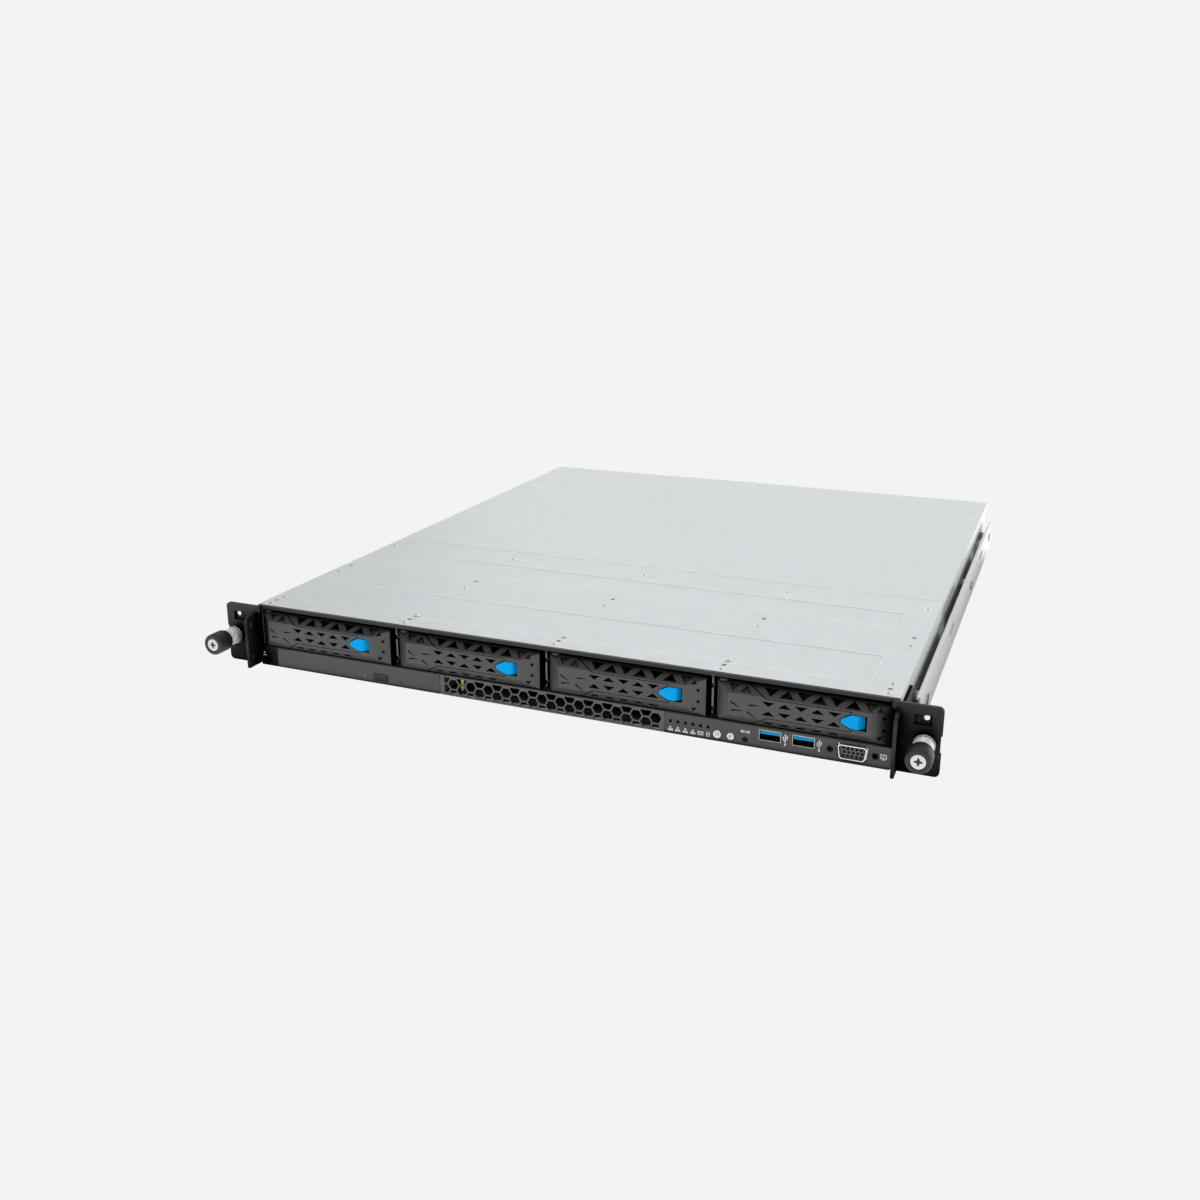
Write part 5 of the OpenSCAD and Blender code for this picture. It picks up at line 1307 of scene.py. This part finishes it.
@dataclass
class Boards(Assembly):
    """Main board, backplane, memory, heat sink and their small parts."""

    wears = ((Coat.BOARD, "backplane", "main_board"), (Coat.SOCKET, "memory_modules"),
             (Coat.HEATSINK, "cpu_heatsink"), (Coat.ZINC, "riser_bracket"))
    top: float = 8.6
    components: int = 150
    kept_free: tuple[tuple[float, ...], ...] = ((70, 170, 40, 150), (165, 216, 0, 172))

    def fit(self) -> None:
        """Populates the boards."""
        board = Box.of("main_board").low
        self.chips(board)
        self.cans(board)
        self.headers(board)
        self.memory()
        self.backplane()
        self.heatsink_parts()

    def chips(self, board: Vector) -> None:
        """Places flat chips and rows of tiny components in a fixed pattern."""
        piece = self.piece("board_chips", Coat.CHIP)
        tiny = self.piece("board_components", Coat.TIN)
        for x, y, w, d in ((30, 190, 16, 16), (112, 176, 9, 11), (150, 214, 12, 8),
                           (196, 222, 18, 18), (246, 150, 10, 10), (262, 118, 8, 14),
                           (236, 216, 12, 12), (20, 108, 12, 8), (44, 124, 7, 7), (280, 60, 9, 9),
                           (262, 92, 7, 5), (270, 30, 14, 20)):
            piece.at(board.x + x, board.y + y, self.top).block((0, 0, -0.1), (w, d, 1.2), 0.2)
            tiny.at(board.x + x, board.y + y, self.top)
            for k in range(int(w / 1.6)):
                tiny.block((0.8 + 1.6 * k, -0.9, -0.02), (1.5 + 1.6 * k, d + 0.9, 0.4))
        for k in range(self.components):
            x = 37 * k * 7 % 2870 / 10 + 8
            y = 53 * k * 11 % 2480 / 10 + 8
            if any(x0 < x < x1 and y0 < y < y1 for x0, x1, y0, y1 in self.kept_free):
                continue
            w, d = (1.6, 0.8) if k % 2 else (0.9, 1.8)
            tiny.at(board.x + x, board.y + y, self.top).block((0, 0, -0.02), (w, d, 0.55))
        piece.done()
        tiny.done()

    def cans(self, board: Vector) -> None:
        """Puts metal tops on the capacitors and a coin cell in its holder."""
        piece = self.piece("capacitor_tops", Coat.HEATSINK)
        for k in range(6):
            piece.at(board.x + 62 + 11 * k, board.y + 30, self.top)
            piece.turned(((4.05, 7.4), (4.05, 8.7), (3.7, 9.05), (0, 9.08)), Axis.Z, 28)
        piece.at(board.x + 60, board.y + 188, self.top)
        piece.turned(((9.9, 5.6), (9.9, 6.5), (9.5, 6.8), (0, 6.8)), Axis.Z, 48)
        piece.done(smooth=True)

    def headers(self, board: Vector) -> None:
        """Adds connector pins and a bundle of wires to the supply."""
        pins = self.piece("board_pins", Coat.GOLD)
        for k in range(12):
            pins.at(board.x, board.y + 154 + 7.6 * k, self.top)
            for x in (20.2, 23.0):
                pins.block((x, 0, 9.6), (x + 0.9, 0.9, 12.4))
        pins.done()
        supply = Box.of("psu_case").low
        for index, coat in enumerate((Coat.WIRE_BLACK, Coat.WIRE_YELLOW, Coat.WIRE_RED)):
            piece = self.piece(f"supply_wires_{index + 1}", coat)
            for lane in range(index * 4, index * 4 + 4):
                x0, y0 = supply.x + 60 + 3.0 * lane, supply.y
                x1, y1 = board.x + 7.2 + (lane % 3) * 2.4, board.y + 24 + 10.5 * (lane // 3)
                path = ((x0, y0 - 0.2, 12), (x0, y0 - 8, 12.2), (x0 + 4, y0 - 14 - lane, 14),
                        ((x0 + x1) / 2, y0 - 18 - lane, 17), (x1 - 4, y1 - 10 - lane, 22),
                        (x1, y1 - 3, 23), (x1, y1, 20.5), (x1, y1 + 0.2, 17.4))
                piece.wire(smooth_path(path, 6), 1.0)
            piece.done(smooth=True)

    def memory(self) -> None:
        """Builds the module boards' chips and latches."""
        box = Box.of("memory_modules")
        board = self.piece("memory_boards", Coat.BOARD)
        chips = self.piece("memory_chips", Coat.CHIP)
        clips = self.piece("memory_latches", Coat.CAP_WHITE)
        y0, y1, low, high = box.low.y + 4.9, box.high.y - 4.9, box.low.z, box.high.z
        for i in range(4):
            for piece in (board, chips, clips):
                piece.at(box.low.x + 3.0 + 10 * i, 0, 0)
            board.block((-0.68, y0, low + 6.2), (0.68, y1, high + 0.02), 0.1)
            for j in range(8):
                y = y0 + 4.6 + 15.4 * j
                chips.block((-1.65, y, high - 17), (1.65, y + 10.4, high - 2.9), 0.2)
            for end in (-1, 1):
                y = box.centre.y + end * (box.size.y / 2 - 2.2)
                clips.prism(((-1.6, y - 1.6), (1.6, y - 1.6), (1.6, y + 1.6), (-1.6, y + 1.6)),
                            Axis.Z, low + 6, low + 19, 0.6)
        for piece in (board, chips, clips):
            piece.done()

    def backplane(self) -> None:
        """Gives the backplane its row of chips and the drives' cable sockets."""
        box = Box.of("backplane")
        piece = self.piece("backplane_chips", Coat.CHIP)
        for k in range(9):
            piece.at(box.low.x + 18 + 46 * k, box.high.y, box.low.z)
            piece.block((0, -0.1, 1.6), (10, 1.3, 8.4), 0.2)
        piece.done()
        sockets = self.piece("backplane_sockets", Coat.CAP_WHITE)
        for k in range(4):
            sockets.at(box.low.x + 60 + 96 * k, box.high.y, box.high.z)
            sockets.block((0, -0.1, -5.2), (22, 7, -0.4), 0.4)
        sockets.done()

    def heatsink_parts(self) -> None:
        """Adds the spring screws at the heat sink's corners."""
        sink = Box.of("cpu_heatsink")
        piece = self.piece("heatsink_screws", Coat.STEEL)
        for i, j in ((-1, -1), (-1, 1), (1, -1), (1, 1)):
            piece.at(sink.centre.x - 1.4 + i * 33.8, sink.centre.y + j * 37, sink.low.z + 9.9)
            piece.turned(((2.85, 0), (2.85, 0.8), (2.5, 1.2), (1.0, 1.2), (0.8, 0.5), (0, 0.5)),
                         Axis.Z, 24)
        piece.done(smooth=True)


@dataclass
class Cooling(Assembly):
    """Fans in front of the board, and the supply's own fan."""

    wears = ((Coat.MOULDED, "fan_frames", "psu_fan_rotor"),
             (Coat.FAN_BLADE, "fan_rotor_1", "fan_rotor_2", "fan_rotor_3", "fan_rotor_4"))

    def fit(self) -> None:
        """Adds each fan's hub plate, label and lead."""
        back = Box.of("fan_frames").high.y
        for n in range(1, 5):
            rotor = Box.of(f"fan_rotor_{n}")
            x, z = rotor.centre.x, rotor.centre.z
            hub = self.piece(f"fan_hub_plate_{n}", Coat.FAN_HUB, f"rotor_{n}").at(x, rotor.low.y, z)
            hub.turned(((11.3, -0.02), (10.6, -0.12), (3.4, -0.12), (3.1, -0.02)), Axis.Y, 40)
            hub.done(smooth=True)
            label = self.piece(f"fan_label_{n}", Coat.LABEL).at(x, back - 1.0, z)
            label.turned(((10.4, -0.02), (10.4, 0.12), (0, 0.12)), Axis.Y, 40)
            label.done()
            lead = self.piece(f"fan_lead_{n}", Coat.WIRE_BLACK).at(x + 15, back, 0)
            path = ((0, -2, 5), (0, 2, 4.6), (1, 5, 3.2), (3, 8, 2.4), (4, 10.5, 2.2))
            lead.wire(smooth_path(path, 5), 0.8)
            lead.block((1.2, 10, 1.1), (6.8, 12.2, 5.2), 0.3)
            lead.done(smooth=True)


@dataclass
class RearPanel(Assembly):
    """Sockets, power inlet and supply at the back."""

    wears = ((Coat.ZINC, "rear_ports", "psu_case"), (Coat.POWDER, "psu_handle"))
    socket_floor: float = 8.65

    def fit(self) -> None:
        """Fills the inlet, the guard and the sockets."""
        supply, ports = Box.of("psu_case"), Box.of("rear_ports").low
        self.inlet(supply)
        self.guard(supply)
        back = Box.of("chassis_base").high.y
        self.sockets(ports.x + 2, back)
        self.display(ports.x + 138, back)

    def inlet(self, supply: Box) -> None:
        """Lines the power inlet in black and gives it three blades."""
        spot = (supply.low.x + 76, supply.high.y, supply.low.z + 20)
        shell = self.piece("inlet_shell", Coat.MOULDED).at(*spot)
        for x0, z0, x1, z1 in ((-13.4, -9.4, 13.4, -7.8), (11.8, -9.4, 13.4, 9.4),
                               (-13.4, 7.8, 13.4, 9.4), (-13.4, -9.4, -11.8, 9.4)):
            shell.block((x0, -0.05, z0), (x1, 0.7, z1), 0.2)
        shell.block((-11.6, -16.9, -7.6), (11.6, -16.2, 7.6), 0.2)
        shell.done()
        blades = self.piece("inlet_blades", Coat.STEEL).at(*spot)
        for x, z in ((-7, -2), (7, -2), (0, 2)):
            blades.block((x - 1.06, -16.4, z - 2.06), (x + 1.06, -3.3, z + 2.06), 0.4)
        blades.done()

    def guard(self, supply: Box) -> None:
        """Fits the wire guard over the supply's fan and the screws of its case."""
        low, back = supply.low, supply.high.y
        piece = self.piece("supply_fan_guard", Coat.STEEL).at(low.x + 28, back, low.z + 20)
        for radius in (5.0, 9.5, 14.0, 18.0):
            round_ = turns(48) + [2 * math.pi]
            piece.wire([(radius * math.cos(t), 0.85, radius * math.sin(t)) for t in round_], 0.55)
        for k in range(4):
            t = math.radians(45 + 90 * k)
            piece.wire([(r * math.cos(t), 0.45, r * math.sin(t)) for r in (4.6, 9.0, 14.0, 18.4)],
                       0.45)
        piece.done(smooth=True)
        screws = self.piece("supply_screws", Coat.STEEL)
        for x, z in ((4.5, 4.0), (95.5, 4.0), (95.5, 36.0), (51.5, 36.5)):
            screws.at(low.x + x, back, low.z + z)
            screws.turned(((2.6, 0), (2.5, 0.5), (1.8, 1.0), (0.9, 1.1), (0.6, 0.5), (0, 0.5)),
                          Axis.Y, 24)
        screws.done(smooth=True)

    def sockets(self, left: float, back: float) -> None:
        """Adds contacts and lamps to the network sockets and tongues to the others."""
        gold = self.piece("network_contacts", Coat.GOLD)
        lamps = self.piece("network_lamps", Coat.LENS)
        z = self.socket_floor
        for i in range(3):
            x = left + 52 + 22 * i
            for k in range(8):
                gold.at(x + 3.4 + 1.16 * k, back, z)
                gold.wire(((0, -11.6, 9.2), (0, -4, 8.8), (0, -10.5, 5.6)), 0.2, 6)
            for side in (0.9, 12.1):
                lamps.at(x, back, z).block((side, 0.5, 10.7), (side + 3.0, 0.75, 12.9), 0.2)
        gold.done()
        lamps.done()
        tongue = self.piece("rear_socket_tongues", Coat.TONGUE)
        for j in (0, 1):
            tongue.at(left, back, z + 1.2 + 7.6 * j).block((31.6, -13.6, 2.9), (42.4, -0.6, 4.7),
                                                           0.2)
        tongue.done()

    def display(self, x: float, back: float) -> None:
        """Fills the rear display socket, adds its nuts, and lays black discs on its face as painted
        shade of its holes.
        """
        z = self.socket_floor + 6.5
        insert = self.piece("rear_display_insert", Coat.TONGUE).at(x, back, z)
        insert.prism(((-7.0, 3.2), (7.0, 3.2), (6.2, -3.2), (-6.2, -3.2)), Axis.Y, -3.9, 4.2, 0.4)
        insert.done()
        # Painted shade: black discs on the insert's face stand in for its fifteen holes.
        holes = self.piece("rear_display_hole_shades", Coat.CHIP)
        nuts = self.piece("rear_display_nuts", Coat.STEEL)
        for i, j in HOLES:
            holes.at(x + i * 2.2 + (0.0 if j else 0.5), back, z + j * 2.0)
            holes.turned(((0.6, 4.1), (0.6, 4.22), (0, 4.22)), Axis.Y, 12)
        for side in (-1, 1):
            nuts.at(x + side * 12.5, back, z)
            nuts.turned(((1.2, 0.1), (1.2, 4.6), (2.4, 4.6), (2.6, 4.3), (2.6, -0.2)), Axis.Y, 6)
        holes.done()
        nuts.done()


def smooth_path(path: Sequence[Sequence[float]], steps: int) -> list[Vector]:
    """Rounds a path into one curve through its points, with new points for each old one."""
    points = [Vector(spot) for spot in path]
    out: list[Vector] = []
    for i in range(len(points) - 1):
        a, b = points[max(i - 1, 0)], points[i]
        c, d = points[i + 1], points[min(i + 2, len(points) - 1)]
        for k in range(steps):
            t = k / steps
            square, cube = 2 * a - 5 * b + 4 * c - d, 3 * b - a - 3 * c + d
            out.append(0.5 * (2 * b + (c - a) * t + square * t * t + cube * t ** 3))
    return out + points[-1:]


# ---- Studio ----


@dataclass
class Studio:
    """Pale floor, soft light and the camera, measured in metres."""

    lens: float = 35.62
    shift: float = -0.0333
    eye: tuple[float, float, float] = (0.2974, -0.8677, 0.2995)
    azimuth: float = 22.58
    elevation: float = 16.18
    aim: tuple[float, float, float] = (0.0, 0.0, 0.03)
    pale: float = 0.896
    fill: float = 0.36
    ceiling: float = 0.12
    floor_gloss: float = 2.3
    # Half sizes, edge and low level of the painted shadow that reflections see on the floor.
    shade_half: tuple[tuple[str, float], ...] = (("X", 0.24), ("Y", 0.205))
    shade_edge: float = 0.07
    shade_low: float = 0.05
    reach: float = 30.0

    def backdrop(self) -> None:
        """Makes the world pale to the lens and to metal, and an even light to the rest."""
        world = bpy.data.worlds.new("studio_air")
        bpy.context.scene.world = world
        sheet = Sheet.fresh(world)
        seen = sheet.add("ShaderNodeLightPath").outputs
        pale = sheet.add("ShaderNodeBackground", {0: rgba(self.pale)})
        fill = sheet.add("ShaderNodeBackground", {0: (0.95, 0.97, 1.0, 1.0), 1: self.fill})
        up = sheet.split(sheet.add("ShaderNodeTexCoord").outputs["Generated"], "Z")
        gloss = sheet.add("ShaderNodeBackground", {0: rgba(self.pale),
                                                   1: sheet.span(up, 0.5, 0.85, 1.0, self.ceiling)})
        clear = sheet.math("MAXIMUM", seen["Is Camera Ray"], seen["Is Transmission Ray"])
        mirrored = sheet.add("ShaderNodeMixShader", {0: seen["Is Glossy Ray"], 1: fill.outputs[0],
                                                     2: gloss.outputs[0]})
        mix = sheet.add("ShaderNodeMixShader", {0: clear, 1: mirrored.outputs[0],
                                                2: pale.outputs[0]})
        sheet.add("ShaderNodeOutputWorld", {0: mix.outputs[0]})

    def paper(self) -> bpy.types.Material:
        """Makes the floor pale to the lens, and dark near the object to what it mirrors, a painted
        shadow.
        """
        made = bpy.data.materials.new("studio_paper")
        sheet = Sheet.fresh(made)
        matt = sheet.add("ShaderNodeBsdfDiffuse", {0: rgba(0.4)})
        seen = sheet.add("ShaderNodeLightPath").outputs
        split = sheet.add("ShaderNodeSeparateXYZ",
                          {0: sheet.add("ShaderNodeTexCoord").outputs["Object"]})
        # Painted shadow: to glossy rays the floor glows at shade_low round the object's footprint,
        # rising to floor_gloss beyond shade_edge.
        away = sheet.math("MAXIMUM", *(
            sheet.math("SUBTRACT", sheet.math("ABSOLUTE", split.outputs[name]), half)
            for name, half in self.shade_half))
        mirrored = sheet.span(away, 0.0, self.shade_edge, self.shade_low, self.floor_gloss)
        shine = sheet.times(seen["Is Glossy Ray"], sheet.math("SUBTRACT", mirrored, 1.0))
        pale = sheet.add("ShaderNodeEmission", {0: rgba(self.pale),
                                                1: sheet.math("ADD", shine, 1.0)})
        either = sheet.math("MAXIMUM", seen["Is Camera Ray"], seen["Is Glossy Ray"])
        either = sheet.math("MAXIMUM", either, seen["Is Transmission Ray"])
        mix = sheet.add("ShaderNodeMixShader", {0: either, 1: matt.outputs[0], 2: pale.outputs[0]})
        sheet.add("ShaderNodeOutputMaterial", {0: mix.outputs[0]})
        return made

    def floor(self) -> None:
        """Lays a wide pale floor under the object."""
        data, far = bpy.data.meshes.new("studio_floor"), self.reach
        data.from_pydata([(-far, -far, 0), (far, -far, 0), (far, far, 0), (-far, far, 0)], [],
                         [(0, 1, 2, 3)])
        thing = self.place("studio_floor", data)
        data.materials.append(self.paper())

    def place(self, name: str, data: bpy.types.ID, spot: Sequence[float] = (0.0, 0.0, 0.0),
              look: Vector | None = None) -> bpy.types.Object:
        """Puts an object in the scene.

        Args:
            name: Its name.
            data: Its mesh, lamp or camera.
            spot: Where it stands.
            look: Which way it faces, if it faces one.

        Returns:
            The object.
        """
        thing = bpy.data.objects.new(name, data)
        thing.location = spot
        if look is not None:
            thing.rotation_euler = look.to_track_quat("-Z", "Y").to_euler()
        bpy.context.scene.collection.objects.link(thing)
        return thing

    def lamps(self) -> None:
        """Hangs the soft square lamps; those without a gleam aren't mirrored in metal."""
        for name, spot, width, power, gleams in (
                ("key_lamp", (-0.7, -2.1, 1.6), 1.5, 40.0, False),
                ("key_gleam", (-0.7, -2.1, 1.6), 1.5, 10.0, True),
                ("side_lamp", (2.1, -0.5, 0.8), 1.4, 32.0, False),
                ("side_gleam", (2.1, -0.5, 0.8), 1.4, 4.0, True),
                ("back_lamp", (-0.6, 2.8, 1.1), 2.4, 9.0, True),
                ("top_lamp", (-0.2, 0.4, 2.3), 1.8, 14.0, True)):
            data = bpy.data.lights.new(name, "AREA")
            data.size, data.energy = width, power
            look = Vector(self.aim) - Vector(spot)
            self.place(name, data, spot, look).visible_glossy = gleams

    def camera(self) -> None:
        """Sets the camera at the object's three-quarter view."""
        data = bpy.data.cameras.new("eye")
        data.lens, data.sensor_width, data.shift_y = self.lens, 36.0, self.shift
        data.clip_start, data.clip_end = 0.01, 200.0
        turn, tilt = math.radians(self.azimuth), math.radians(self.elevation)
        look = Vector((-math.sin(turn) * math.cos(tilt), math.cos(turn) * math.cos(tilt),
                       -math.sin(tilt)))
        bpy.context.scene.camera = self.place("eye", data, self.eye, look)

    def build(self) -> None:
        """Sets the whole studio round the object."""
        bpy.context.scene.view_settings.view_transform = "Standard"
        self.camera()
        self.backdrop()
        self.floor()
        self.lamps()
        LOG.info("studio ready")


def main() -> None:
    """Builds every sub-assembly in order."""
    logging.basicConfig(level=logging.INFO, format="%(name)s: %(message)s")
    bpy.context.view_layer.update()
    Studio().build()
    palette = Palette()
    for assembly in (SheetMetal, PortPanel, IntakeRow, Boards, Cooling, RearPanel):
        assembly(palette).build()
    for side in ("left", "right"):
        CaptiveScrew(palette, side).build()
    for number in range(1, 5):
        DriveBay(palette, number).build()


if __name__ == "__main__":
    main()
